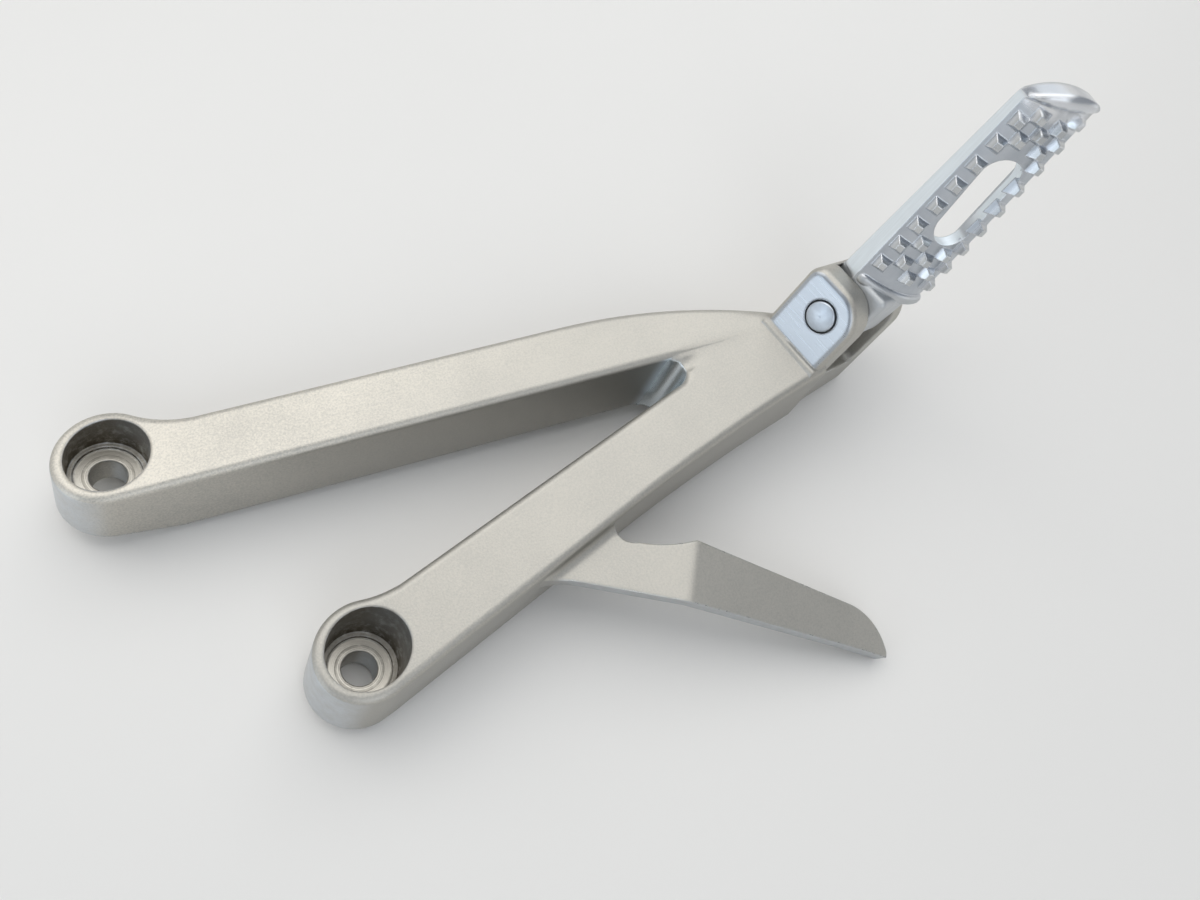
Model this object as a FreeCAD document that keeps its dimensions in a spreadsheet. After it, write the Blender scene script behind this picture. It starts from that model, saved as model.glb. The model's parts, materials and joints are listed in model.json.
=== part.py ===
"""Passenger footrest bracket: a cast V bracket with a folding footpeg.

The design frame has its origin between the two bolt holes on the mounting plane.
Z points outboard along the bolts and X runs from the bolts to the footpeg's pivot.
All sizes are millimetres and degrees.
"""
import FreeCAD, Part
import math
import os
import Sketcher

V = FreeCAD.Vector

SIZES = (
    # mounting eyes
    ("upper_eye_x", -20.3, "upper bolt hole along X"),
    ("upper_eye_y", 33.2, "upper bolt hole along Y"),
    ("lower_eye_x", 20.3, "lower bolt hole along X"),
    ("lower_eye_y", -33.2, "lower bolt hole along Y"),
    ("bolt_hole_radius", 4.4, "clearance hole for an 8 mm bolt"),
    ("seat_height", 8.5, "metal clamped under the bolt head"),
    ("seat_radius", 7.9, "machined bolt seat"),
    ("ledge_rise", 0.8, "cast ledge above the machined seat"),
    ("well_radius", 9.15, "counterbore at the ledge"),
    ("well_draft", 2.5, "draft of the counterbore wall"),
    ("boss_radius", 12.3, "outside of the eye"),
    ("pad_radius", 10.0, "flat mounting pad under the eye"),
    # arms
    ("upper_heading", -5.25, "plan direction of the upper arm"),
    ("lower_heading", 16.3, "plan direction of the lower arm"),
    ("upper_width", 17.7, "width of the upper arm"),
    ("lower_width", 20.8, "width of the lower arm at its eye"),
    ("lower_taper", 1.5, "taper of the lower arm"),
    ("upper_slope", 13.96, "rise of the upper arm"),
    ("lower_slope", 16.36, "rise of the lower arm"),
    ("upper_top", 19.0, "top of the upper arm at its bolt"),
    ("lower_top", 22.0, "top of the lower arm at its bolt"),
    ("arm_depth", 22.0, "depth of both arms"),
    ("neck_blend", 25.0, "blend from an eye into its arm"),
    ("upper_straight", 114.0, "straight outer edge of the upper arm"),
    ("upper_curve", 145.0, "curve of the upper arm into the clevis"),
    ("lower_straight", 70.0, "straight outer edge of the lower arm"),
    ("lower_curve", 560.0, "curve of the lower arm into the clevis"),
    ("crotch_radius", 3.9, "round end of the V"),
    ("scoop_depth", 2.2, "scoop past the end of the V"),
    ("scoop_lean", 11.0, "run-out of the scoop"),
    ("edge_round", 2.0, "rounded top edges of the arms"),
    ("casting_wall", 4.2, "side wall of the cored arms"),
    ("casting_roof", 4.5, "top wall of the cored arms"),
    ("core_round", 3.0, "corner of the cored channels"),
    ("upper_core_start", 5.0, "upper channel beyond the flat under its eye"),
    ("upper_core_end", 118.0, "end of the upper channel from the bolt"),
    ("lower_core_start", 16.7, "lower channel beyond the flat under its eye"),
    ("lower_core_end", 88.0, "end of the lower channel from the bolt"),
    # clevis
    ("pin_x", 151.4, "pivot pin at the outer face of the front ear"),
    ("pin_y", 0.0, "pivot pin sideways"),
    ("pin_z", 72.3, "pivot pin above the mounting plane"),
    ("pin_heading", 14.1, "plan direction of the pivot pin"),
    ("pin_dip", 15.7, "dip of the pivot pin"),
    ("ear_radius", 9.8, "ear around the pin"),
    ("ear_left", 10.8, "ear's stop side from the pin"),
    ("ear_corner", 4.0, "corner of the ear on the stop side"),
    ("ear_round", 2.2, "rounded outer edge of the ears"),
    ("front_ear", 9.3, "thickness of the front ear"),
    ("back_ear", 8.0, "thickness of the back ear"),
    ("clevis_gap", 19.4, "gap between the ears"),
    ("ear_foot", 11.6, "foot of the machined ear face below the pin"),
    ("foot_ledge", 1.8, "ledge at the foot of the ear face"),
    ("gap_floor", 16.0, "floor of the gap below the pin"),
    ("gap_round", 3.0, "corner of the gap floor"),
    ("stop_wall", 2.2, "web that stops the footpeg"),
    ("clevis_base", 39.6, "underside of the clevis above the mounting plane"),
    # heel guard
    ("guard_drop", 5.0, "top of the guard below the arm's top"),
    ("guard_thickness", 4.5, "thickness of the guard"),
    ("guard_bend_x", 95.7, "outer end of the bend line along X"),
    ("guard_bend_y", -52.2, "outer end of the bend line along Y"),
    ("guard_heading", -33.9, "plan direction of the guard"),
    ("guard_root", 45.0, "length from inside the arm to the bend"),
    ("guard_length", 64.0, "length beyond the bend"),
    ("guard_width", 16.3, "width at the bend"),
    ("guard_end_width", 11.4, "width before the rounded end"),
    ("guard_end", 14.0, "length of the rounded end"),
    ("guard_tip_width", 1.4, "flat at the very end"),
    ("guard_bend", 18.8, "bend angle"),
    ("guard_bend_radius", 6.0, "bend radius at the top"),
    ("guard_tip_bend", 5.0, "second bend before the rounded end"),
    ("guard_bead", 2.6, "fillet bead along the arm"),
    ("guard_flare", 11.0, "flare of the guard into the arm"),
    ("guard_scoop", 3.4, "depth of the scoop beside the arm"),
    ("guard_scoop_start", 15.0, "deepest part of the scoop before the bend"),
    # pivot pin, washer and clip
    ("pin_radius", 3.5, "pivot pin"),
    ("pin_head_radius", 4.2, "head of the pivot pin"),
    ("pin_head", 3.2, "head depth"),
    ("pin_proud", 0.4, "head above the ear face"),
    ("pin_dome", 0.5, "domed head"),
    ("pin_fit", 0.05, "running clearance on the pin"),
    ("head_gap", 0.45, "gap around the pin head"),
    ("washer_radius", 6.5, "washer outside"),
    ("washer_thickness", 1.0, "washer"),
    ("clip_radius", 5.4, "retaining clip outside"),
    ("clip_thickness", 0.8, "retaining clip"),
    ("clip_groove_radius", 2.7, "bottom of the clip groove"),
    ("clip_mouth", 4.6, "open side of the clip"),
    ("pin_tail", 1.6, "pin beyond the clip"),
    ("pin_end_round", 0.6, "rounded pin ends"),
    # detent
    ("ball_radius", 2.0, "detent ball"),
    ("ball_circle", 6.8, "detent ball from the pin axis"),
    ("ball_proud", 0.7, "ball out of the knuckle"),
    ("ball_gap", 0.1, "clearance of the ball in its bore and track"),
    ("fold_angle", 85.0, "fold of the footpeg"),
    ("spring_wire", 0.6, "detent spring wire diameter"),
    ("spring_length", 8.0, "detent spring"),
    ("spring_turns", 6.0, "detent spring coils"),
    # footpeg
    ("tread_turn", 55.0, "turn of the tread about the footpeg's axis"),
    ("knuckle_side", 0.2, "side clearance of the knuckle"),
    ("knuckle_radius", 8.3, "knuckle around the pin"),
    ("knuckle_heel", 9.3, "knuckle on the folding side"),
    ("knuckle_round", 1.6, "rounded edges of the knuckle"),
    ("knuckle_trim", 0.3, "knuckle inside the straight side"),
    ("knuckle_notch", 4.5, "foot of the trimmed side from the pin axis"),
    ("collar_start", 10.3, "collar from the pin axis"),
    ("collar_thickness", 3.0, "collar at the inner end of the tread"),
    ("collar_lip", 1.2, "collar above the tread"),
    ("collar_corner", 2.5, "corners of the collar"),
    ("collar_round", 1.2, "rounded rim of the collar"),
    ("tread_straight", 9.8, "straight side of the tread from the axis"),
    ("tread_taper_root", 14.2, "tapered side at the collar"),
    ("tread_taper_tip", 8.0, "tapered side at the tip"),
    ("peg_length", 78.0, "tip from the pin axis"),
    ("crown_radius", 21.0, "convex tread"),
    ("crown_height", 6.8, "crown above the pin axis"),
    ("crown_centre", -1.5, "crown line across the tread"),
    ("underside_root", 4.2, "underside below the pin axis at the collar"),
    ("underside_tip", 0.4, "underside below the pin axis at the tip"),
    ("underside_tilt", 8.0, "underside rising to the tapered side"),
    ("underside_round", 1.6, "rounded lower edges"),
    ("tread_wall", 3.6, "thickness of the tread over its hollow"),
    ("skirt_wall", 2.6, "side walls under the tread"),
    ("hollow_corner", 2.0, "corners of the hollow under the tread"),
    ("hollow_start", 6.7, "hollow under the tread from the collar"),
    ("hollow_end", 13.0, "hollow under the tread from the tip"),
    ("tip_slant", 7.2, "straight side shorter than the tip"),
    ("tip_corner", 3.4, "far corner of the tip"),
    ("tip_shoulder", 3.0, "near corner of the tip"),
    ("lip_foot", 6.0, "foot of the raised lip from the tip"),
    ("lip_crest", 3.0, "middle of the raised lip from the tip"),
    ("lip_turn", 18.0, "slant of the raised lip"),
    ("lip_hollow", 1.9, "hollow at the foot of the lip"),
    ("lip_round", 2.7, "rounded lip"),
    ("lip_rise", 60.0, "steepest slope of the lip"),
    ("lip_sink", 0.6, "foot of the lip inside the tread"),
    ("slot_width", 11.4, "slot through the tread"),
    ("slot_start", 30.6, "inner end of the slot"),
    ("slot_end", 20.4, "outer end of the slot from the tip"),
    ("slot_centre", -1.1, "slot across the tread"),
    ("slot_turn", 4.0, "slot along the middle of the taper"),
    ("stud_base", 4.7, "stud at the tread"),
    ("stud_top", 1.9, "flat top of a stud"),
    ("stud_height", 2.2, "stud height"),
    ("stud_root", 0.8, "stud sunk into the convex tread"),
    ("stud_pitch", 6.69, "spacing of studs in a row"),
    ("stud_first", 18.4, "first stud from the pin axis"),
    ("stud_inset", 2.7, "outer row from the straight side"),
    ("stud_taper_inset", 3.2, "outer row from the tapered side"),
    # position at rest on a flat table
    ("rest_yaw", 0.0, "turn about the vertical"),
    ("rest_pitch", 12.967, "pitch at rest"),
    ("rest_roll", -6.772, "roll at rest"),
)

doc = FreeCAD.newDocument("footrest_bracket")
sheet = doc.addObject("Spreadsheet::Sheet", "dims")
for row, (alias, number, meaning) in enumerate(SIZES, start=1):
    sheet.set("A%d" % row, meaning)
    sheet.set("B%d" % row, str(number))
    sheet.setAlias("B%d" % row, alias)
doc.recompute()


def size(alias):
    return float(sheet.get(alias))


def flat(angle, length=1.0):
    """Vector in the mounting plane at an angle from X."""
    radians = math.radians(angle)
    return V(length * math.cos(radians), length * math.sin(radians), 0)


def frame(origin, x_axis, y_axis):
    """Placement with its local X and Y along two given axes."""
    x_axis = V(x_axis).normalize()
    z_axis = x_axis.cross(y_axis).normalize()
    y_axis = z_axis.cross(x_axis)
    return FreeCAD.Placement(origin, FreeCAD.Rotation(x_axis, y_axis, z_axis, "ZXY"))


def new_body(name):
    body = doc.addObject("PartDesign::Body", name)
    body.Label = name
    return body


def new_sketch(body, name, place, pieces):
    """Closed sketch on a plane given by a placement, with its ends joined."""
    sketch = body.newObject("Sketcher::SketchObject", name)
    plane = [item for item in body.Origin.OriginFeatures if item.Role == "XY_Plane"][0]
    sketch.AttachmentSupport = [(plane, "")]
    sketch.MapMode = "FlatFace"
    sketch.AttachmentOffset = place
    sketch.addGeometry(pieces, False)
    ends = [(i, end) for i, piece in enumerate(pieces) if hasattr(piece, "StartPoint") for end in (1, 2)]
    for n, (i, end) in enumerate(ends):
        for j, other in ends[n + 1:]:
            if i != j and sketch.getPoint(i, end).distanceToPoint(sketch.getPoint(j, other)) < 1e-6:
                sketch.addConstraint(Sketcher.Constraint("Coincident", i, end, j, other))
    return sketch


def bind_radius(sketch, index, expression):
    """Radius dimension on one circle or arc, driven by the sheet."""
    number = sketch.addConstraint(Sketcher.Constraint("Radius", index, sketch.Geometry[index].Radius))
    sketch.setExpression("Constraints[%d]" % number, expression)


def pad(body, name, sketch, length):
    feature = body.newObject("PartDesign::Pad", name)
    feature.Profile = sketch
    feature.setExpression("Length", length)
    return feature


def pocket(body, name, sketch, length, forward=False):
    """Cut behind the sketch plane, or in front of it."""
    feature = body.newObject("PartDesign::Pocket", name)
    feature.Profile = sketch
    feature.setExpression("Length", length)
    feature.Reversed = forward
    return feature


def round_edges(body, name, radius, wanted):
    """Fillet every edge of the body that passes a test."""
    doc.recompute()
    base = body.Tip
    names = ["Edge%d" % (i + 1) for i, edge in enumerate(base.Shape.Edges) if wanted(edge)]
    feature = body.newObject("PartDesign::Fillet", name)
    feature.Base = (base, names)
    feature.setExpression("Radius", radius)
    return feature


def edge_points(edge, count=7):
    return edge.discretize(count)


def lines(points):
    """Closed chain of straight lines."""
    return [Part.LineSegment(a, b) for a, b in zip(points, points[1:] + points[:1])]


def rectangle(x0, y0, x1, y1):
    return lines([V(x0, y0, 0), V(x1, y0, 0), V(x1, y1, 0), V(x0, y1, 0)])


def circle(x, y, radius):
    return Part.Circle(V(x, y, 0), V(0, 0, 1), radius)


def obround(x0, x1, y, radius):
    """Slot outline with round ends, along X."""
    return [
        Part.LineSegment(V(x0, y - radius, 0), V(x1, y - radius, 0)),
        Part.Arc(V(x1, y - radius, 0), V(x1 + radius, y, 0), V(x1, y + radius, 0)),
        Part.LineSegment(V(x1, y + radius, 0), V(x0, y + radius, 0)),
        Part.Arc(V(x0, y + radius, 0), V(x0 - radius, y, 0), V(x0, y - radius, 0)),
    ]


def meet(p, d, q, e):
    """Crossing point of two plan lines."""
    t = ((q.x - p.x) * e.y - (q.y - p.y) * e.x) / (d.x * e.y - d.y * e.x)
    return p + d * t


REACH = 400.0
upper_eye = V(size("upper_eye_x"), size("upper_eye_y"), 0)
lower_eye = V(size("lower_eye_x"), size("lower_eye_y"), 0)
boss = size("boss_radius")


def eye_blend(eye, along, outward, offset):
    """Boss tangent point, middle and arm tangent point of the blend beside an eye."""
    blend = size("neck_blend")
    run = math.sqrt((boss + blend) ** 2 - (offset + blend) ** 2)
    centre = eye + along * run + outward * (offset + blend)
    on_arm = eye + along * run + outward * offset
    on_boss = eye + (centre - eye) * (boss / (boss + blend))
    middle = ((on_arm - centre).normalize() + (on_boss - centre).normalize()).normalize()
    return on_boss, centre + middle * blend, on_arm


def arc_on(start, direction, side, radius, run):
    """Arc that leaves a point along a direction and bends to one side over a given run."""
    def at(length):
        return start + direction * length + side * (radius - math.sqrt(radius ** 2 - length ** 2))
    return Part.Arc(start, at(run / 2), at(run)), at(run)


def roof_place(eye, top, heading, slope, drop=0.0):
    """Plane parallel to an arm's top, with X along the arm."""
    turn = FreeCAD.Rotation(V(0, 0, 1), heading) * FreeCAD.Rotation(V(0, 1, 0), -slope)
    place = FreeCAD.Placement(eye + V(0, 0, top), turn)
    return place.multiply(FreeCAD.Placement(V(0, 0, -drop), FreeCAD.Rotation()))


# plan directions of the arms
upper_along = flat(size("upper_heading"))
upper_out = flat(size("upper_heading") + 90)
lower_along = flat(size("lower_heading"))
lower_in = flat(size("lower_heading") + 90)
lower_edge_along = flat(size("lower_heading") - size("lower_taper"))
lower_edge_in = flat(size("lower_heading") - size("lower_taper") + 90)
upper_offset = size("upper_width") - boss
lower_offset = (size("lower_width") - boss) * math.cos(math.radians(size("lower_taper")))
pin_plan = V(size("pin_x"), size("pin_y"), 0)
upper_run = (pin_plan - upper_eye).dot(upper_along)
lower_run = (pin_plan - lower_eye).dot(lower_along)

# round end of the V between the arms' inner edges
crotch = size("crotch_radius")
crotch_centre = meet(
    upper_eye - upper_out * (boss + crotch), upper_along,
    lower_eye + lower_edge_in * (lower_offset + crotch), lower_edge_along)


def flat_run(top, slope):
    """Length along an arm before its underside leaves the mounting plane."""
    lean = math.radians(slope)
    return (size("arm_depth") / math.cos(lean) - top) / math.sin(lean)


def arm_solid(name, pieces, eye, top, heading, slope, core):
    """Arm blank in plan, trimmed by its sloping top and underside, rounded and cored."""
    body = new_body(name)
    plan = new_sketch(body, name + "_plan", FreeCAD.Placement(), pieces)
    pad(body, name + "_blank", plan, "dims.pin_z")
    roof = roof_place(eye, top, heading, slope)
    above = new_sketch(body, name + "_top_plane", roof, rectangle(-REACH, -REACH, REACH, REACH))
    pocket(body, name + "_top", above, "dims.pin_z * 3", forward=True)
    floor = roof_place(eye, top, heading, slope, size("arm_depth"))
    below = new_sketch(body, name + "_under_plane", floor, rectangle(-REACH, -REACH, REACH, REACH))
    pocket(body, name + "_under", below, "dims.pin_z * 3")
    to_roof = roof.inverse()

    def on_top(edge):
        return all(abs(to_roof.multVec(point).z) < 1e-4 for point in edge_points(edge))

    def visible(edge):
        middle = edge.CenterOfMass
        return on_top(edge) and middle.sub(eye).dot(flat(heading)) < core["end"] and not core["buried"](middle)

    round_edges(body, name + "_rounded", "dims.edge_round", visible)
    ceiling = roof_place(eye, top, heading, slope, size("casting_roof"))
    channel = new_sketch(body, name + "_core", ceiling, core["outline"])
    pocket(body, name + "_channel", channel, "dims.arm_depth * 2")
    upright = ceiling.inverse()

    def core_corner(edge):
        ends = [upright.multVec(point) for point in edge_points(edge, 3)]
        depth = abs(ends[0].z - ends[-1].z)
        inside = abs(ends[0].x - ends[-1].x) + abs(ends[0].y - ends[-1].y) < 1e-4
        return inside and depth > size("casting_roof")

    round_edges(body, name + "_channel_rounded", "dims.core_round", core_corner)
    return body


# upper arm, tangent to its eye on the inside and blended on the outside
blend_start, blend_middle, blend_end = eye_blend(upper_eye, upper_along, upper_out, upper_offset)
shoulder = upper_eye + upper_along * size("upper_straight") + upper_out * upper_offset
shoulder_arc, upper_tip = arc_on(
    shoulder, upper_along, upper_out * -1, size("upper_curve"), upper_run - size("upper_straight"))
inner_tip = upper_eye + upper_along * upper_run - upper_out * boss
upper_pieces = [
    Part.LineSegment(inner_tip, upper_eye - upper_out * boss),
    Part.Arc(upper_eye - upper_out * boss, upper_eye - upper_along * boss, blend_start),
    Part.Arc(blend_start, blend_middle, blend_end),
    Part.LineSegment(blend_end, shoulder),
    shoulder_arc,
    Part.LineSegment(upper_tip, inner_tip),
]
wall = size("casting_wall")
slope_run = math.cos(math.radians(size("upper_slope")))
upper_core = rectangle(
    flat_run(size("upper_top"), size("upper_slope")) + size("upper_core_start"), wall - boss,
    size("upper_core_end") / slope_run, upper_offset - wall)
upper_arm = arm_solid(
    "upper_arm", upper_pieces, upper_eye, size("upper_top"), size("upper_heading"),
    size("upper_slope"), {"outline": upper_core, "end": upper_run - 2.0, "buried": lambda point: False})

# lower arm, tangent to its eye on the outside, carrying the round end of the V
blend_start, blend_middle, blend_end = eye_blend(
    lower_eye, lower_edge_along, lower_edge_in, lower_offset)
lower_knee = lower_eye + lower_along * size("lower_straight") - lower_in * boss
knee_arc, lower_tip = arc_on(
    lower_knee, lower_along, lower_in * -1, size("lower_curve"), lower_run - size("lower_straight"))
crotch_low = crotch_centre - lower_edge_in * crotch
crotch_high = crotch_centre + upper_out * crotch
crotch_end = crotch_centre + (upper_along + lower_edge_along).normalize() * crotch
bury_start = crotch_high + upper_out * (size("edge_round") * 0.25)
bury_end = inner_tip + upper_out * (size("edge_round") * 1.25)


def buried(point):
    """Edges of the lower arm that run inside the upper arm."""
    return (point - crotch_high).dot(upper_out) > -1e-3


lower_pieces = [
    Part.LineSegment(lower_eye - lower_in * boss, lower_knee),
    knee_arc,
    Part.LineSegment(lower_tip, bury_end),
    Part.LineSegment(bury_end, bury_start),
    Part.LineSegment(bury_start, crotch_high),
    Part.Arc(crotch_high, crotch_end, crotch_low),
    Part.LineSegment(crotch_low, blend_end),
    Part.Arc(blend_end, blend_middle, blend_start),
    Part.Arc(blend_start, lower_eye - lower_along * boss, lower_eye - lower_in * boss),
]
core_start = flat_run(size("lower_top"), size("lower_slope")) + size("lower_core_start")
core_end = size("lower_core_end")
narrowing = math.tan(math.radians(size("lower_taper")))
lower_core = lines([
    V(core_start, wall - boss, 0),
    V(core_end, wall - boss, 0),
    V(core_end, size("lower_width") - boss - wall - core_end * narrowing, 0),
    V(core_start, size("lower_width") - boss - wall, 0),
])
lower_arm = arm_solid(
    "lower_arm", lower_pieces, lower_eye, size("lower_top"), size("lower_heading"),
    size("lower_slope"), {"outline": lower_core, "end": lower_run - 2.0, "buried": buried})

# clevis: local X across the ears, local Y along the unfolded footpeg, local Z into the bracket
pin_dip = math.radians(size("pin_dip"))
inward = flat(size("pin_heading"), math.cos(pin_dip)) - V(0, 0, math.sin(pin_dip))
across = flat(size("pin_heading") + 90)
pin_face = pin_plan + V(0, 0, size("pin_z"))
ear_place = frame(pin_face, across, inward.cross(across))
clevis_width = size("front_ear") + size("clevis_gap") + size("back_ear")


def ear_plane(depth):
    """Plane parallel to the ears, at a depth from the front ear's face."""
    return ear_place.multiply(FreeCAD.Placement(V(0, 0, depth), FreeCAD.Rotation()))


ear = size("ear_radius")
left = size("ear_left")
corner = size("ear_corner")
sunk = -size("pin_z")
diagonal = math.sqrt(0.5)
clevis = new_body("clevis")
ear_pieces = [
    Part.LineSegment(V(-ear, sunk, 0), V(-ear, 0, 0)),
    Part.Arc(V(-ear, 0, 0), V(-ear * diagonal, ear * diagonal, 0), V(0, ear, 0)),
    Part.LineSegment(V(0, ear, 0), V(left - corner, ear, 0)),
    Part.Arc(
        V(left - corner, ear, 0),
        V(left - corner * (1 - diagonal), ear - corner * (1 - diagonal), 0),
        V(left, ear - corner, 0)),
    Part.LineSegment(V(left, ear - corner, 0), V(left, sunk, 0)),
    Part.LineSegment(V(left, sunk, 0), V(-ear, sunk, 0)),
]
ear_outline = new_sketch(clevis, "ear_outline", ear_place, ear_pieces)
pad(clevis, "clevis_block", ear_outline, "dims.front_ear + dims.clevis_gap + dims.back_ear")
ledge = new_sketch(
    clevis, "foot_ledge_outline", ear_plane(-size("foot_ledge")),
    rectangle(-ear, sunk, left, -size("ear_foot")))
pad(clevis, "foot_ledge_block", ledge, "dims.foot_ledge")
base_plane = FreeCAD.Placement(V(0, 0, size("clevis_base")), FreeCAD.Rotation())
below = new_sketch(clevis, "clevis_base_plane", base_plane, rectangle(-REACH, -REACH, REACH, REACH))
pocket(clevis, "clevis_underside", below, "dims.pin_z * 3")
gap_start = size("front_ear")
gap_end = gap_start + size("clevis_gap")
gap_low = -size("gap_floor")
gap_corner = size("gap_round")
gap_tuck = gap_corner * (1 - diagonal)
gap_place = frame(pin_face + across * (left - size("stop_wall")), inward, ear_place.Rotation.multVec(V(0, 1, 0)))
gap_pieces = [
    Part.LineSegment(V(gap_start, ear * 3, 0), V(gap_start, gap_low + gap_corner, 0)),
    Part.Arc(
        V(gap_start, gap_low + gap_corner, 0),
        V(gap_start + gap_tuck, gap_low + gap_tuck, 0),
        V(gap_start + gap_corner, gap_low, 0)),
    Part.LineSegment(V(gap_start + gap_corner, gap_low, 0), V(gap_end - gap_corner, gap_low, 0)),
    Part.Arc(
        V(gap_end - gap_corner, gap_low, 0),
        V(gap_end - gap_tuck, gap_low + gap_tuck, 0),
        V(gap_end, gap_low + gap_corner, 0)),
    Part.LineSegment(V(gap_end, gap_low + gap_corner, 0), V(gap_end, ear * 3, 0)),
    Part.LineSegment(V(gap_end, ear * 3, 0), V(gap_start, ear * 3, 0)),
]
gap_outline = new_sketch(clevis, "gap_outline", gap_place, gap_pieces)
pocket(clevis, "clevis_gap_cut", gap_outline, "dims.ear_radius * 4", forward=True)
to_ear = ear_place.inverse()


def ear_rim(edge):
    """Outer edge of either ear, above the foot of the machined face."""
    points = [to_ear.multVec(point) for point in edge_points(edge)]
    front = all(abs(point.z) < 1e-4 for point in points)
    back = all(abs(point.z - clevis_width) < 1e-4 for point in points)
    foot = all(abs(point.y - points[0].y) < 1e-4 for point in points) and points[0].y < 0
    level = all(abs(ear_place.multVec(point).z - size("clevis_base")) < 1e-4 for point in points)
    return (front or back) and not foot and not level


round_edges(clevis, "ears_rounded", "dims.ear_round", ear_rim)


def ledge_rim(edge):
    """Upper front edge of the ledge at the ear's foot."""
    points = [to_ear.multVec(point) for point in edge_points(edge)]
    return all(abs(point.z + size("foot_ledge")) < 1e-4 and abs(point.y + size("ear_foot")) < 1e-4 for point in points)


round_edges(clevis, "ledge_rounded", "dims.foot_ledge * 0.6", ledge_rim)
hole = new_sketch(
    clevis, "pin_hole_outline", ear_place, [circle(0, 0, size("pin_radius") + size("pin_fit"))])
bind_radius(hole, 0, "dims.pin_radius + dims.pin_fit")
pocket(clevis, "pin_hole", hole, "dims.pin_z", forward=True)
head_hole = new_sketch(
    clevis, "pin_head_outline", ear_place, [circle(0, 0, size("pin_head_radius") + size("head_gap"))])
bind_radius(head_hole, 0, "dims.pin_head_radius + dims.head_gap")
pocket(clevis, "pin_head_recess", head_hole, "dims.pin_head", forward=True)

# heel guard: a bent plate on the lower arm, trimmed to its outline
lower_roof = roof_place(
    lower_eye, size("lower_top"), size("lower_heading"), size("lower_slope"), size("guard_drop"))
guard_up = lower_roof.Rotation.multVec(V(0, 0, 1))


def on_guard(point):
    """Point of the guard's top plane straight above a plan point."""
    drop = (point - lower_roof.Base).dot(guard_up) / guard_up.z
    return point - V(0, 0, drop)


bend_end = on_guard(V(size("guard_bend_x"), size("guard_bend_y"), 0))
guard_out = on_guard(bend_end + flat(size("guard_heading"))) - bend_end
guard_place = frame(bend_end, guard_out, guard_up.cross(guard_out))
guard = new_body("guard")
bend = math.radians(size("guard_bend"))
plate = size("guard_thickness")
root = size("guard_root")
tip_bend = math.radians(size("guard_tip_bend"))


def slanting(angle, run):
    """Vector along the plate at an angle below its root."""
    return V(math.cos(angle), -math.sin(angle), 0) * run


def below_plate(angle, depth):
    return V(-math.sin(angle), -math.cos(angle), 0) * depth


knee = slanting(bend, size("guard_length") - size("guard_end"))
tip = knee + slanting(bend + tip_bend, size("guard_end"))
profile = lines([
    V(-root, 0, 0), V(0, 0, 0), knee, tip, tip + below_plate(bend + tip_bend, plate),
    knee + below_plate(bend + tip_bend / 2, plate / math.cos(tip_bend / 2)),
    V(-plate * math.tan(bend / 2), -plate, 0), V(-root, -plate, 0)])
guard_turn = FreeCAD.Placement(V(0, size("guard_width") * 2, 0), FreeCAD.Rotation(V(1, 0, 0), 90))
bent = new_sketch(guard, "guard_profile", guard_place.multiply(guard_turn), profile)
pad(guard, "guard_plate", bent, "dims.guard_width * 4")
to_guard = guard_place.inverse()


def bend_edge(edge):
    """Edges along the bend."""
    points = [to_guard.multVec(point) for point in edge_points(edge, 3)]
    level = all(abs(point.x - points[0].x) < 1e-4 for point in points)
    return level and abs(points[0].x) < plate


round_edges(guard, "guard_bend_round", "dims.guard_bend_radius", bend_edge)
arm_near = to_guard.multVec(on_guard(lower_eye - lower_in * (boss - wall / 2)))
arm_far = to_guard.multVec(on_guard(lower_eye - lower_in * (boss - wall / 2) + lower_along * root))
arm_line = arm_far - arm_near
arm_line.z = 0
width = size("guard_width")
bead = size("guard_bead")
bead_tuck = bead * (1 - diagonal)
bead_place = lower_roof.multiply(frame(V(0, -boss, 0), V(0, -1, 0), V(0, 0, 1)))
bead_section = new_sketch(guard, "bead_section", bead_place, [
    Part.LineSegment(V(bead, 0, 0), V(bead, -plate / 2, 0)),
    Part.LineSegment(V(bead, -plate / 2, 0), V(-wall / 4, -plate / 2, 0)),
    Part.LineSegment(V(-wall / 4, -plate / 2, 0), V(-wall / 4, bead, 0)),
    Part.LineSegment(V(-wall / 4, bead, 0), V(0, bead, 0)),
    Part.Arc(V(0, bead, 0), V(bead_tuck, bead_tuck, 0), V(bead, 0, 0)),
])
bead_pad = pad(guard, "guard_root_bead", bead_section, "dims.lower_straight * 2")
bead_pad.SideType = "Symmetric"
root_low = meet(arm_near, arm_line, V(0, 0, 0), V(1, 0, 0))
root_high = meet(arm_near, arm_line, V(0, width * 1.2, 0), V(1, 0, 0))
scoop_low = V(-size("guard_scoop_start"), width - size("guard_scoop"), 0)
scoop_turn = V((scoop_low.x * 2 + root_high.x) / 3, scoop_low.y - size("guard_scoop") * 0.1, 0)
round_start = V(knee.x, size("guard_end_width"), 0)
round_end = V(tip.x * 0.999, size("guard_tip_width"), 0)
round_run = round_end - round_start
ahead = (round_start - V(0, width, 0)).normalize()
aside = (ahead - round_run * (ahead.dot(round_run) / round_run.dot(round_run))).normalize()
bulge = round_run.Length / 2 * math.tan(ahead.getAngle(round_run) / 2)
round_middle = (round_start + round_end) * 0.5 + aside * bulge
scoop_sag = (V(0, width, 0) + scoop_low) * 0.5 - V(0, size("guard_scoop") * 0.25, 0)
flare = size("guard_flare")
flare_arm = root_low - arm_line.normalize() * flare
flare_edge = root_low + V(flare, 0, 0)
flare_middle = (flare_arm + flare_edge + root_low * 2) * 0.25
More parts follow.
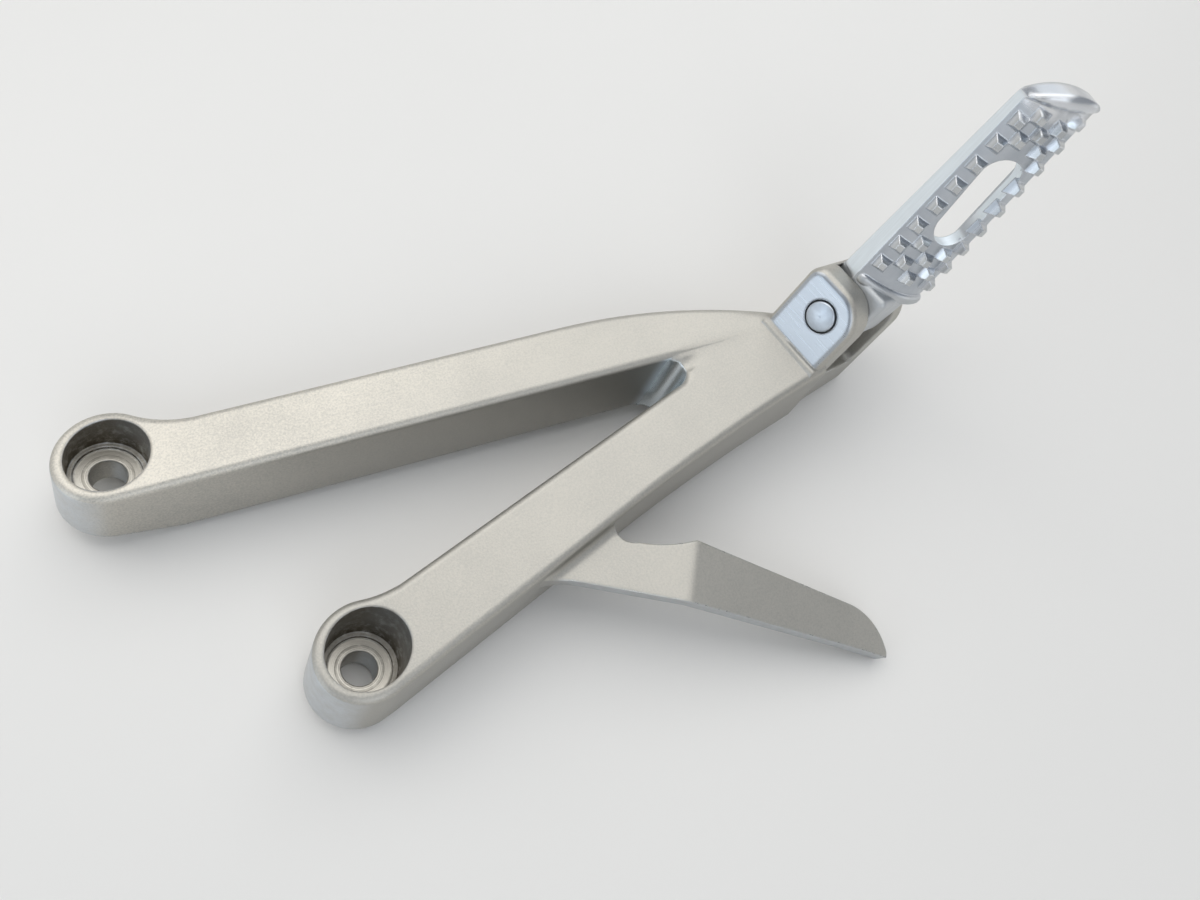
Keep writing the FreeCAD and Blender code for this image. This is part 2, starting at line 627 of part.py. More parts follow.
outline_pieces = [
    Part.Arc(flare_arm, flare_middle, flare_edge),
    Part.LineSegment(flare_edge, V(round_end.x, 0, 0)),
    Part.LineSegment(V(round_end.x, 0, 0), round_end),
    Part.Arc(round_end, round_middle, round_start),
    Part.LineSegment(round_start, V(0, width, 0)),
    Part.Arc(V(0, width, 0), scoop_sag, scoop_low),
    Part.Arc(scoop_low, scoop_turn, root_high),
    Part.LineSegment(root_high, flare_arm),
]
trim = new_sketch(
    guard, "guard_outline", guard_place, outline_pieces + rectangle(-REACH, -REACH, REACH, REACH))
trim_cut = pocket(guard, "guard_trim", trim, "dims.guard_length * 2")
trim_cut.SideType = "Symmetric"


def eye_well(name, eye, top):
    """Revolved cutter for a bolt hole, its machined seat and its drafted counterbore."""
    body = new_body(name)
    hole = size("bolt_hole_radius")
    seat = size("seat_height")
    shelf = seat + size("ledge_rise")
    high = top + boss
    wide = size("well_radius") + (high - shelf) * math.tan(math.radians(size("well_draft")))
    points = [
        V(0, -seat, 0), V(hole, -seat, 0), V(hole, seat, 0), V(size("seat_radius"), seat, 0),
        V(size("seat_radius"), shelf, 0), V(size("well_radius"), shelf, 0), V(wide, high, 0),
        V(0, high, 0)]
    section = new_sketch(body, name + "_section", frame(eye, V(1, 0, 0), V(0, 0, 1)), lines(points))
    turn = body.newObject("PartDesign::Revolution", name + "_turn")
    turn.Profile = section
    turn.ReferenceAxis = (section, ["V_Axis"])
    turn.Angle = 360
    return body


upper_well = eye_well("upper_well", upper_eye, size("upper_top"))
lower_well = eye_well("lower_well", lower_eye, size("lower_top"))

# track for the detent ball in the back ear
knuckle_width = size("clevis_gap") - 2 * size("knuckle_side")
knuckle_middle = size("front_ear") + size("clevis_gap") / 2
ball_inset = knuckle_width / 2 - size("ball_radius") + size("ball_proud")
track_place = ear_plane(knuckle_middle + ball_inset)
track = doc.addObject("Part::Torus", "detent_track")
track.setExpression("Radius1", "dims.ball_circle")
track.setExpression("Radius2", "dims.ball_radius + dims.ball_gap")
track.setExpression("Angle3", "dims.fold_angle")
track.Placement = track_place.multiply(FreeCAD.Placement(V(0, 0, 0), FreeCAD.Rotation(V(0, 0, 1), 90)))
track_ends = []
for name, angle in (("open_dimple", 90.0), ("folded_dimple", 90.0 + size("fold_angle"))):
    dimple = doc.addObject("Part::Sphere", name)
    dimple.setExpression("Radius", "dims.ball_radius + dims.ball_gap")
    dimple.Placement = track_place.multiply(
        FreeCAD.Placement(flat(angle, size("ball_circle")), FreeCAD.Rotation()))
    track_ends.append(dimple)


def fuse(name, shapes):
    feature = doc.addObject("Part::MultiFuse", name)
    feature.Shapes = shapes
    feature.Refine = True
    return feature


def cut(name, base, tool):
    feature = doc.addObject("Part::Cut", name)
    feature.Base = base
    feature.Tool = tool
    feature.Refine = True
    return feature


pads = []
for name, eye in (("upper_pad", upper_eye), ("lower_pad", lower_eye)):
    disc_pad = doc.addObject("Part::Cylinder", name)
    disc_pad.setExpression("Radius", "dims.pad_radius")
    disc_pad.setExpression("Height", "dims.seat_height")
    disc_pad.Placement.Base = eye
    pads.append(disc_pad)
crotch_way = (upper_along + lower_edge_along).normalize()
scoop_lean = math.radians(size("upper_slope") + size("scoop_lean"))
scoop_way = crotch_way * math.cos(scoop_lean) + V(0, 0, math.sin(scoop_lean))
crotch_roof = size("upper_top") + (crotch_end - upper_eye).dot(upper_along) * math.tan(math.radians(size("upper_slope")))
scoop_end = crotch_end + V(0, 0, crotch_roof - size("scoop_depth") + crotch / math.cos(scoop_lean))
scoop = doc.addObject("Part::Cylinder", "crotch_scoop")
scoop.setExpression("Radius", "dims.crotch_radius")
scoop.setExpression("Height", "dims.crotch_radius * 5")
scoop.Placement = FreeCAD.Placement(scoop_end - scoop_way * crotch, FreeCAD.Rotation(V(0, 0, 1), scoop_way))
casting = fuse("bracket_casting", [upper_arm, lower_arm, clevis, guard] + pads)
bores = fuse("bracket_bores", [upper_well, lower_well, scoop, track] + track_ends)
bracket = cut("bracket", casting, bores)

# footpeg: local Z along the peg, local Y out of the tread, local X to the straight side
turned = math.radians(size("tread_turn"))
peg_inward = V(-math.sin(turned), -math.cos(turned), 0)
peg_across = V(math.cos(turned), -math.sin(turned), 0)
start = size("collar_start")
length = size("peg_length")
straight = size("tread_straight")
crown = size("crown_radius")
crown_x = size("crown_centre")
crown_y = size("crown_height") - crown


tip_corner = size("tip_corner")
tip_start = length - tip_corner
tip_across = tip_corner - size("tread_taper_tip")
slant = size("tip_slant")
end_reach = straight - tip_across
end_radius = (end_reach ** 2 + slant ** 2) / (2 * slant)
end_centre = V(length - end_radius, tip_across, 0)
near_round = size("tip_shoulder")
near_run = math.sqrt((end_radius - near_round) ** 2 - (end_reach - near_round) ** 2)
near_centre = V(end_centre.x + near_run, straight - near_round, 0)
near_end = end_centre + (near_centre - end_centre).normalize() * end_radius


def taper(station):
    """Distance of the tapered side from the peg's axis at a station along it."""
    share = (station - start) / (tip_start - start)
    return size("tread_taper_root") + share * (size("tread_taper_tip") - size("tread_taper_root"))


def arc_about(centre, first, last, radius):
    """Arc about a centre from one point to another, the short way round."""
    middle = ((first - centre).normalize() + (last - centre).normalize()).normalize()
    return Part.Arc(first, centre + middle * radius, last)


def tread_plane(height):
    """Plane across the tread, with its X along the peg."""
    return frame(V(0, height, 0), V(0, 0, 1), V(1, 0, 0))


def section_plane(station):
    return FreeCAD.Placement(V(0, 0, station), FreeCAD.Rotation())


def above_crown(radius):
    """Outline of everything above a crowned tread of the given radius."""
    reach = radius * 0.9
    low = crown_y + math.sqrt(radius ** 2 - reach ** 2)
    ends = (V(crown_x - reach, low, 0), V(crown_x + reach, low, 0))
    lift = V(0, crown, 0)
    return [
        Part.Arc(ends[0], V(crown_x, crown_y + radius, 0), ends[1]),
        Part.LineSegment(ends[1], ends[1] + lift * 2),
        Part.LineSegment(ends[1] + lift * 2, ends[0] + lift * 2),
        Part.LineSegment(ends[0] + lift * 2, ends[0]),
    ]


# bar with a slanting round end and an underside that rises to the tip and to the tapered side
bar = new_body("peg_blank")
side_end = V(near_centre.x, straight, 0)
far_end = V(length, tip_across, 0)
taper_end = V(tip_start, -taper(tip_start), 0)
tread_plan = new_sketch(bar, "tread_plan", tread_plane(-crown), [
    Part.LineSegment(V(start, straight, 0), side_end),
    arc_about(near_centre, side_end, near_end, near_round),
    arc_about(end_centre, near_end, far_end, end_radius),
    arc_about(V(tip_start, tip_across, 0), far_end, taper_end, tip_corner),
    Part.LineSegment(taper_end, V(start, -taper(start), 0)),
    Part.LineSegment(V(start, -taper(start), 0), V(start, straight, 0)),
])
pad(bar, "tread_blank", tread_plan, "dims.crown_radius * 2")
low_root = -size("underside_root")
low_tip = -size("underside_tip")
tilt = math.radians(size("underside_tilt"))
tilt_up = V(math.sin(tilt), math.cos(tilt), 0)
side_plane = frame(
    V(straight, 0, 0) + V(math.cos(tilt), -math.sin(tilt), 0) * (crown * 2), V(0, 0, 1), tilt_up)


def lower_line(station):
    """Height of the bar's underside at the straight side, square to the underside."""
    low = low_root + (low_tip - low_root) * (station - start) / (length - start)
    return low * math.cos(tilt)


underside = new_sketch(bar, "underside_line", side_plane, lines([
    V(start, lower_line(start), 0), V(length, lower_line(length), 0),
    V(length, -crown * 2, 0), V(start, -crown * 2, 0)]))
pocket(bar, "underside_cut", underside, "dims.crown_radius * 4", forward=True)


def lower_rim(edge):
    """Outer lower edges of the bar, all round its end."""
    points = edge_points(edge)
    low = all(abs((p - V(straight, 0, 0)).dot(tilt_up) - lower_line(p.z)) < 1e-3 for p in points)
    return low and any(p.z > start + 0.5 for p in points)


round_edges(bar, "underside_rounded", "dims.underside_round", lower_rim)

# space above the tread, as far as the raised lip
open_end = length - size("slot_end") / 2
tread_space = new_body("tread_space")
tread_crown = new_sketch(tread_space, "tread_crown", section_plane(0), above_crown(crown))
pad(tread_space, "tread_space_block", tread_crown, "dims.peg_length - dims.slot_end / 2")
tip_space = new_body("tip_space")
tip_crown = new_sketch(
    tip_space, "tip_crown", section_plane(open_end - size("lip_hollow")), above_crown(crown))
pad(tip_space, "tip_space_block", tip_crown, "dims.slot_end")

# space above the raised lip: turned about the crown's axis, which leans with the slant of the lip
lip_turn = math.radians(size("lip_turn"))
rise = math.radians(size("lip_rise"))
bowl = size("lip_hollow")
lip_round = size("lip_round")
foot_x = size("lip_crest") - size("lip_foot")
foot_y = crown - size("lip_sink")
bowl_centre = V(foot_x, foot_y + bowl, 0)
lip_centre = bowl_centre + V(math.sin(rise), -math.cos(rise), 0) * (bowl + lip_round)


def bowl_point(angle):
    return bowl_centre + V(math.sin(angle), -math.cos(angle), 0) * bowl


def lip_point(angle):
    return lip_centre + V(math.sin(angle), math.cos(angle), 0) * lip_round


lip_space = new_body("lip_space")
lip_axis = frame(
    V(crown_x, crown_y, length - size("lip_crest")),
    V(math.sin(lip_turn), 0, math.cos(lip_turn)), V(0, 1, 0))
over = math.radians(80)
before = V(foot_x - size("slot_end"), foot_y - size("slot_end") * 0.4, 0)
after = lip_point(over) + V(size("lip_foot") * 2, 0, 0)
lip_section = new_sketch(lip_space, "lip_section", lip_axis, [
    Part.LineSegment(before, V(foot_x, foot_y, 0)),
    Part.Arc(V(foot_x, foot_y, 0), bowl_point(rise / 2), bowl_point(rise)),
    Part.Arc(lip_point(-rise), lip_point((over - rise) / 2), lip_point(over)),
    Part.LineSegment(lip_point(over), after),
    Part.LineSegment(after, V(after.x, crown * 2, 0)),
    Part.LineSegment(V(after.x, crown * 2, 0), V(before.x, crown * 2, 0)),
    Part.LineSegment(V(before.x, crown * 2, 0), before),
])
lip_sweep = lip_space.newObject("PartDesign::Revolution", "lip_sweep")
lip_sweep.Profile = lip_section
lip_sweep.ReferenceAxis = (lip_section, ["H_Axis"])
lip_sweep.Angle = 360
lip_clear = doc.addObject("Part::MultiCommon", "lip_clear")
lip_clear.Shapes = [tip_space, lip_space]
crowned = cut("crowned_bar", bar, fuse("above_tread", [tread_space, lip_clear]))

# hollow under the tread and the slot through it
skirt = size("skirt_wall")
hollow_start = start + size("hollow_start")
hollow_end = length - size("hollow_end")
hollow = new_body("tread_hollow")
hollow_plan = new_sketch(hollow, "hollow_plan", tread_plane(-crown), lines([
    V(hollow_start, straight - skirt, 0), V(hollow_end, straight - skirt, 0),
    V(hollow_end, skirt - taper(hollow_end), 0), V(hollow_start, skirt - taper(hollow_start), 0)]))
pad(hollow, "hollow_block", hollow_plan, "dims.crown_radius * 2")


def hollow_edge(edge):
    points = edge_points(edge, 3)
    return abs(points[0].y - points[-1].y) > crown


round_edges(hollow, "hollow_corners", "dims.hollow_corner", hollow_edge)
hollow_roof = new_sketch(hollow, "hollow_roof", section_plane(0), above_crown(crown - size("tread_wall")))
pocket(hollow, "hollow_roof_cut", hollow_roof, "dims.peg_length * 2", forward=True)
slot_half = size("slot_width") / 2
slot_start = size("slot_start")
slot_end = length - size("slot_end")
slot_turn = math.radians(size("slot_turn"))
slot_middle = (slot_start + slot_end) / 2
slot_reach = (slot_end - slot_start) / 2 - slot_half
slot_space = new_body("slot_space")
slot_place = frame(
    V(size("slot_centre"), -crown, slot_middle), V(math.sin(slot_turn), 0, math.cos(slot_turn)),
    V(math.cos(slot_turn), 0, -math.sin(slot_turn)))
slot = new_sketch(slot_space, "slot_outline", slot_place, obround(-slot_reach, slot_reach, 0, slot_half))
pad(slot_space, "slot_block", slot, "dims.crown_radius * 2")
peg = cut("peg_bar", crowned, fuse("tread_openings", [hollow, slot_space]))

# collar and knuckle
collar_body = new_body("collar")
rim = size("collar_lip")
rim_x = (straight - rim / 2, -taper(start) - rim)
rim_y = [crown_y + math.sqrt((crown + rim) ** 2 - (x - crown_x) ** 2) for x in rim_x]
rim_low = low_root - rim / 2
collar = new_sketch(collar_body, "collar_outline", section_plane(start), [
    Part.Arc(V(rim_x[0], rim_y[0], 0), V(crown_x, crown_y + crown + rim, 0), V(rim_x[1], rim_y[1], 0)),
    Part.LineSegment(V(rim_x[1], rim_y[1], 0), V(rim_x[1], rim_low, 0)),
    Part.LineSegment(V(rim_x[1], rim_low, 0), V(rim_x[0], rim_low, 0)),
    Part.LineSegment(V(rim_x[0], rim_low, 0), V(rim_x[0], rim_y[0], 0)),
])
pad(collar_body, "collar_plate", collar, "dims.collar_thickness")


def collar_edge(edge):
    points = edge_points(edge, 3)
    return abs(points[0].z - points[-1].z) > 0.5


round_edges(collar_body, "collar_corners", "dims.collar_corner", collar_edge)


def collar_rim(edge):
    return all(abs(point.z - start) < 1e-4 for point in edge_points(edge)) or all(
        abs(point.z - start - size("collar_thickness")) < 1e-4 for point in edge_points(edge))


round_edges(collar_body, "collar_rounded", "dims.collar_round", collar_rim)
barrel = size("knuckle_radius")
heel = size("knuckle_heel")
top = start + size("collar_thickness") / 2


def knuckle_plane(depth):
    """Plane across the pin, at a depth from the knuckle's middle."""
    return frame(peg_inward * depth, peg_across, V(0, 0, 1))


heel_angle = math.atan2(top, -heel) + math.acos(barrel / math.hypot(top, heel))
heel_end = flat(math.degrees(heel_angle), barrel)
barrel_body = new_body("barrel")
barrel_outline = new_sketch(barrel_body, "barrel_outline", knuckle_plane(-knuckle_width / 2), [
    Part.LineSegment(V(barrel, 0, 0), V(barrel, top, 0)),
    Part.LineSegment(V(barrel, top, 0), V(-heel, top, 0)),
    Part.LineSegment(V(-heel, top, 0), heel_end),
    Part.Arc(heel_end, V(0, -barrel, 0), V(barrel, 0, 0)),
])
pad(barrel_body, "barrel_block", barrel_outline, "dims.clevis_gap - 2 * dims.knuckle_side")


def barrel_edge(edge):
    """Every edge of the knuckle but the lines where its flats run into the round."""
    points = edge_points(edge, 3)
    along_pin = abs((points[-1] - points[0]).dot(peg_inward)) > knuckle_width / 2
    reach = math.hypot(points[1].dot(peg_across), points[1].z)
    return not (along_pin and abs(reach - barrel) < 1e-3)


round_edges(barrel_body, "barrel_rounded", "dims.knuckle_round", barrel_edge)
knuckle = fuse("knuckle", [collar_body, barrel_body])

# bores through the knuckle for the pin and for the detent
bore = doc.addObject("Part::Cylinder", "pin_bore")
bore.setExpression("Radius", "dims.pin_radius + dims.pin_fit")
bore.setExpression("Height", "dims.clevis_gap * 2")
bore.Placement = knuckle_plane(-size("clevis_gap"))
ball_bore = doc.addObject("Part::Cylinder", "detent_bore")
ball_bore.setExpression("Radius", "dims.ball_radius + dims.ball_gap")
ball_bore.setExpression("Height", "dims.spring_length + dims.ball_radius * 2")
bore_bottom = ball_inset - size("ball_radius") - size("spring_length")
ball_bore.Placement = knuckle_plane(bore_bottom).multiply(
    FreeCAD.Placement(V(0, size("ball_circle"), 0), FreeCAD.Rotation()))
side_trim = doc.addObject("Part::Box", "side_trim")
side_trim.setExpression("Length", "dims.crown_radius * 2")
side_trim.setExpression("Width", "dims.crown_radius * 2")
side_trim.setExpression("Height", "dims.crown_radius")
side_trim.Placement.Base = V(straight - size("knuckle_trim"), -crown, size("knuckle_notch"))
bored_knuckle = cut("bored_knuckle", knuckle, fuse("knuckle_bores", [bore, ball_bore, side_trim]))
footpeg_casting = fuse("footpeg_casting", [peg, bored_knuckle])

# studs: truncated pyramids in five staggered rows that follow the taper
studs = []
pitch = size("stud_pitch")
stud_reach = size("stud_base") / 2
places = int((length - size("stud_first")) / pitch) + 1
for line in range(5):
    stagger = pitch / 2 if line % 2 else 0.0
    for place in range(places):
        station = size("stud_first") + stagger + place * pitch
        near = straight - size("stud_inset")
        away = -taper(station) + size("stud_taper_inset")
        x = near + (away - near) * line / 4
        clear = stud_reach * (1.6 if line == 2 else 0.8)
        over_slot = abs(station - slot_middle) < (slot_end - slot_start) / 2 + clear
        lip_station = length - size("lip_foot") - (x - crown_x) * math.tan(lip_turn)
        beyond = station > lip_station - stud_reach * 0.2
        if (over_slot and line in (1, 2, 3)) or beyond:
            continue
        lean = math.asin((crown_x - x) / crown)
        stud = doc.addObject("Part::Wedge", "stud_%d_%d" % (line + 1, place + 1))
        for side, sign in (("min", "-"), ("max", "")):
            stud.setExpression("X" + side, sign + "dims.stud_base / 2")
            stud.setExpression("Z" + side, sign + "dims.stud_base / 2")
            stud.setExpression("X2" + side, sign + "dims.stud_top / 2")
            stud.setExpression("Z2" + side, sign + "dims.stud_top / 2")
        stud.setExpression("Ymin", "-dims.stud_root")
        stud.setExpression("Ymax", "dims.stud_height")
        stud.Placement = FreeCAD.Placement(
            V(crown_x - crown * math.sin(lean), crown_y + crown * math.cos(lean), station),
            FreeCAD.Rotation(V(0, 0, 1), math.degrees(lean)))
        studs.append(stud)
footpeg = fuse("footpeg", [footpeg_casting] + studs)

# pivot pin: a headed pin with a clip groove, turned about its axis
pivot_pin = new_body("pivot_pin")
pin = size("pin_radius")
head = size("pin_head_radius")
groove_start = clevis_width + size("washer_thickness")
groove_end = groove_start + size("clip_thickness")
pin_end = groove_end + size("pin_tail")
pin_rim = V(head, -size("pin_proud"), 0)
pin_top = V(0, -size("pin_proud") - size("pin_dome"), 0)
dome = (head ** 2 + size("pin_dome") ** 2) / (2 * size("pin_dome"))
dome_middle = V(head / 2, pin_top.y + dome - math.sqrt(dome ** 2 - head ** 2 / 4), 0)
pin_section = new_sketch(pivot_pin, "pin_section", frame(V(), V(1, 0, 0), V(0, 0, 1)), [
    Part.Arc(pin_top, dome_middle, pin_rim)] + lines([
        pin_rim, V(head, size("pin_head"), 0), V(pin, size("pin_head"), 0), V(pin, groove_start, 0),
        V(size("clip_groove_radius"), groove_start, 0), V(size("clip_groove_radius"), groove_end, 0),
        V(pin, groove_end, 0), V(pin, pin_end, 0), V(0, pin_end, 0), pin_top])[:-1])
pin_turn = pivot_pin.newObject("PartDesign::Revolution", "pin_turn")
pin_turn.Profile = pin_section
pin_turn.ReferenceAxis = (pin_section, ["V_Axis"])
pin_turn.Angle = 360


def pin_ends(edge):
    if edge.Degenerated:
        return False
    points = edge_points(edge, 5)
    flat_end = all(abs(point.z + size("pin_proud")) < 1e-4 for point in points)
    return flat_end or all(abs(point.z - pin_end) < 1e-4 for point in points)


round_edges(pivot_pin, "pin_ends_rounded", "dims.pin_end_round", pin_ends)

pin_washer = new_body("pin_washer")
washer = new_sketch(pin_washer, "washer_outline", section_plane(0), [
    circle(0, 0, size("washer_radius")), circle(0, 0, pin + size("pin_fit"))])
bind_radius(washer, 0, "dims.washer_radius")
bind_radius(washer, 1, "dims.pin_radius + dims.pin_fit")
pad(pin_washer, "washer_plate", washer, "dims.washer_thickness")

retaining_clip = new_body("retaining_clip")
clip_ring = new_sketch(retaining_clip, "clip_outline", section_plane(0), [
    circle(0, 0, size("clip_radius")), circle(0, 0, size("clip_groove_radius") + size("pin_fit"))])
bind_radius(clip_ring, 0, "dims.clip_radius")
bind_radius(clip_ring, 1, "dims.clip_groove_radius + dims.pin_fit")
pad(retaining_clip, "clip_plate", clip_ring, "dims.clip_thickness")
mouth = size("clip_mouth") / 2
clip_mouth = new_sketch(
    retaining_clip, "clip_mouth_outline", section_plane(0), rectangle(0, -mouth, size("clip_radius") * 2, mouth))
pocket(retaining_clip, "clip_mouth_cut", clip_mouth, "dims.clip_thickness", forward=True)

detent_ball = doc.addObject("Part::Sphere", "detent_ball")
detent_ball.setExpression("Radius", "dims.ball_radius")

detent_spring = new_body("detent_spring")
wire = size("spring_wire") / 2
coil = size("ball_radius") - wire
wire_circle = new_sketch(
    detent_spring, "wire_section", frame(V(), V(1, 0, 0), V(0, 0, 1)), [circle(coil, wire, wire)])
winding = detent_spring.newObject("PartDesign::AdditiveHelix", "spring_winding")
winding.Profile = wire_circle
winding.ReferenceAxis = (wire_circle, ["V_Axis"])
winding.Mode = "height-turns-growth"
winding.setExpression("Height", "dims.spring_length - dims.spring_wire")
winding.setExpression("Turns", "dims.spring_turns")
doc.recompute()

# every piece takes its place in the assembly, which lies at rest on a flat table
rest = FreeCAD.Placement(
    V(), FreeCAD.Rotation(size("rest_yaw"), size("rest_pitch"), size("rest_roll")))
peg_frame = frame(
    pin_face + inward * knuckle_middle,
    across * math.cos(turned) - inward * math.sin(turned),
    across * -math.sin(turned) - inward * math.cos(turned))
ball_seat = knuckle_plane(ball_inset).multiply(
    FreeCAD.Placement(V(0, size("ball_circle"), 0), FreeCAD.Rotation()))
spring_seat = knuckle_plane(bore_bottom).multiply(
    FreeCAD.Placement(V(0, size("ball_circle"), 0), FreeCAD.Rotation()))
NODES = (
    ("bracket", bracket, FreeCAD.Placement()),
    ("footpeg", footpeg, peg_frame),
    ("pivot_pin", pivot_pin, ear_place),
    ("pin_washer", pin_washer, ear_plane(clevis_width)),
    ("retaining_clip", retaining_clip, ear_plane(groove_start)),
    ("detent_ball", detent_ball, peg_frame.multiply(ball_seat)),
    ("detent_spring", detent_spring, peg_frame.multiply(spring_seat)),
)
for name, node, place in NODES:
    node.Label = name
    node.Placement = rest.multiply(place)
doc.recompute()

# the origin goes to the middle of the assembly's box, on the table
around = FreeCAD.BoundBox()
for name, node, place in NODES:
    around.add(node.Shape.optimalBoundingBox(False, False))
rest.Base = V(-around.Center.x, -around.Center.y, -around.ZMin)
for name, node, place in NODES:
    node.Placement = rest.multiply(place)
doc.recompute()

for item in doc.Objects:
    if "Invalid" in item.State or "Error" in item.State:
        raise RuntimeError("%s did not build" % item.Label)
os.makedirs("parts", exist_ok=True)
for name, node, place in NODES:
    if node.Shape.isNull() or not node.Shape.isValid():
        raise RuntimeError("%s has no valid solid" % name)
    node.Shape.exportStep("parts/%s.step" % name)
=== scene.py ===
"""Finishes and stage for a cast footrest bracket with a folding, studded footpeg."""
import json
import math

import bpy
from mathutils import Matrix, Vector

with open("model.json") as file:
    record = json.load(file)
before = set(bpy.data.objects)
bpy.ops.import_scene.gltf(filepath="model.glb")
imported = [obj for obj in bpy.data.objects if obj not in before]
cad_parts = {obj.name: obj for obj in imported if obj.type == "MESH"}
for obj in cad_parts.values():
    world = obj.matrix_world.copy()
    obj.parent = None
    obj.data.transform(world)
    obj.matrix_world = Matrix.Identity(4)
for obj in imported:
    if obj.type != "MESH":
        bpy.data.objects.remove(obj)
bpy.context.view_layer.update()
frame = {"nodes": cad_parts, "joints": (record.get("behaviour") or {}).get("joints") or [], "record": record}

bl_info = {
    "name": "Footrest bracket finishes",
    "version": (1, 0, 0),
    "blender": (4, 5, 0),
    "location": "View3D > Sidebar > Footrest",
    "description": "Cast, polished and plated finishes for a footrest bracket, and a table to show it on",
    "category": "Material",
}

MM = 0.001  # the scene is in metres
EAR_OFFSET = 19 * MM

# directions and places of the part, read from its mounts and its hinge
mounts = {mount["name"]: mount for mount in frame["record"]["mounts"]}
hinge = frame["joints"][0]
pivot = Vector(hinge["pos_m"])
pin_way = Vector(hinge["axis"]).normalized()
upper_bolt = Vector(mounts["upper_bolt_bore"]["pos_m"])
lower_bolt = Vector(mounts["lower_bolt_bore"]["pos_m"])
bolt_way = Vector(mounts["upper_bolt_bore"]["axis"]).normalized()
across_ears = bolt_way.cross(pin_way).normalized()
peg_way = pin_way.cross(across_ears).normalized()
ear_face = pivot - pin_way * EAR_OFFSET

# the end of the V between the arms, the crease that runs on from it, and the way back to the bolt eyes
arms_meet = Vector((0.0345, 0.0270, 0.0267))
crease_way = Vector((0.987, 0.156, 0.072)).normalized()
bolt_end = Vector((-0.95, -0.30, 0.05)).normalized()

# noise of each kind of mark: marks to a metre, octaves of detail, strength of the octaves
CAST_GRAIN = (2.0, 0.6)  # its marks to a metre come from the grain's size
CAST_PATCHES = (55.0, 4.0, 0.6)
CAST_CLOUDS = (14.0, 2.0, 0.5)
EDGE_RUB = (160.0, 4.0, 0.65)
WALL_SHEEN_NOISE = (300.0, 4.0, 0.65)
EAR_LINES = (2600.0, 2.0, 0.5)
WELL_DIRT = (420.0, 5.0, 0.7)
SEAT_RINGS = (1.0, 3.0, 0.7)
PEG_SCRATCHES = (1500.0, 3.0, 0.6)
PEG_PATCHES = (240.0, 4.0, 0.6)
PLATE_PATCHES = (650.0, 4.0, 0.6)
PLATE_RINGS = (1.0, 2.0, 0.5)
TABLE_WEAR = (9.0, 5.0, 0.6)
TABLE_GRAIN = (60.0, 3.0, 0.5)

# turned rings: how many to a metre, and how far the patches push them out of round
RINGS_PER_METRE = 2600.0
RING_WOBBLE = 0.6

# rounded edges: samples of the rounded normal, and how near that is to the flat one
# where an edge starts and where it is full
EDGE_SAMPLES = 6
EDGE_TURN = (0.995, 0.86)

# Other values stand above the operator that uses them. A pair for step() is where a mark starts and
# where it is full, and a pair for span() is its least and its most. Three for band() are a start, an
# end and the fade at each, and a pair for bump() is a depth and a strength. _FACE is how squarely a
# surface faces a direction, _RUN a distance along the part and _REACH a distance from an axis.
UPRIGHT_FACE = (0.5, 0.2)


class CastFinish(bpy.types.PropertyGroup):
    """Blasted casting of the bracket"""
    colour: bpy.props.FloatVectorProperty(
        name="Casting", description="Colour of the blasted casting", subtype="COLOR", size=3,
        min=0, max=1, default=(0.665, 0.637, 0.575))
    # Colour of the grain's pits, and also of the painted shade on the lower arm.
    shade: bpy.props.FloatVectorProperty(
        name="Pits", description="Colour in the pits of the grain", subtype="COLOR", size=3,
        min=0, max=1, default=(0.44, 0.43, 0.40))
    # Painted shade: a dark colour on the casting's upright walls, standing in for shade rather than a finish
    # of its own.
    wall: bpy.props.FloatVectorProperty(
        name="Walls", description="Colour of the casting's walls, left as cast", subtype="COLOR", size=3,
        min=0, max=1, default=(0.30, 0.295, 0.285))
    # Colour of worn edges and machined faces, and also of the painted reflection on the walls that face the
    # bolt eyes.
    worn: bpy.props.FloatVectorProperty(
        name="Worn edges", description="Colour of rubbed edges and machined faces", subtype="COLOR", size=3,
        min=0, max=1, default=(0.66, 0.71, 0.77))
    # Painted reflection: a bright bluish colour on the wall where the arms meet.
    bright: bpy.props.FloatVectorProperty(
        name="Bright end", description="Colour of the rubbed wall where the arms meet",
        subtype="COLOR", size=3, min=0, max=1, default=(0.88, 0.95, 1.0))
    grime: bpy.props.FloatVectorProperty(
        name="Grime", description="Old dirt in the bolt wells", subtype="COLOR", size=3,
        min=0, max=1, default=(0.085, 0.064, 0.034))
    grain: bpy.props.FloatProperty(
        name="Grain", description="Size of the blasted grain", unit="LENGTH", default=0.0005)


class PegFinish(bpy.types.PropertyGroup):
    """Polished footpeg"""
    colour: bpy.props.FloatVectorProperty(
        name="Polished", description="Colour of the polished tread", subtype="COLOR", size=3,
        min=0, max=1, default=(0.74, 0.76, 0.79))
    valley: bpy.props.FloatVectorProperty(
        name="Valleys", description="Colour between the studs", subtype="COLOR", size=3,
        min=0, max=1, default=(0.40, 0.435, 0.48))
    stud: bpy.props.FloatVectorProperty(
        name="Studs", description="Colour of the studs' faces and the knuckle", subtype="COLOR", size=3,
        min=0, max=1, default=(0.50, 0.52, 0.53))
    # The side's own matte colour, made brighter and bluish as a painted reflection of the room.
    side: bpy.props.FloatVectorProperty(
        name="Side", description="Colour of the matte side", subtype="COLOR", size=3,
        min=0, max=1, default=(0.88, 0.95, 1.0))
    turn: bpy.props.FloatProperty(
        name="Tread turn", description="Turn of the tread about the footpeg", subtype="ANGLE",
        default=math.radians(55))


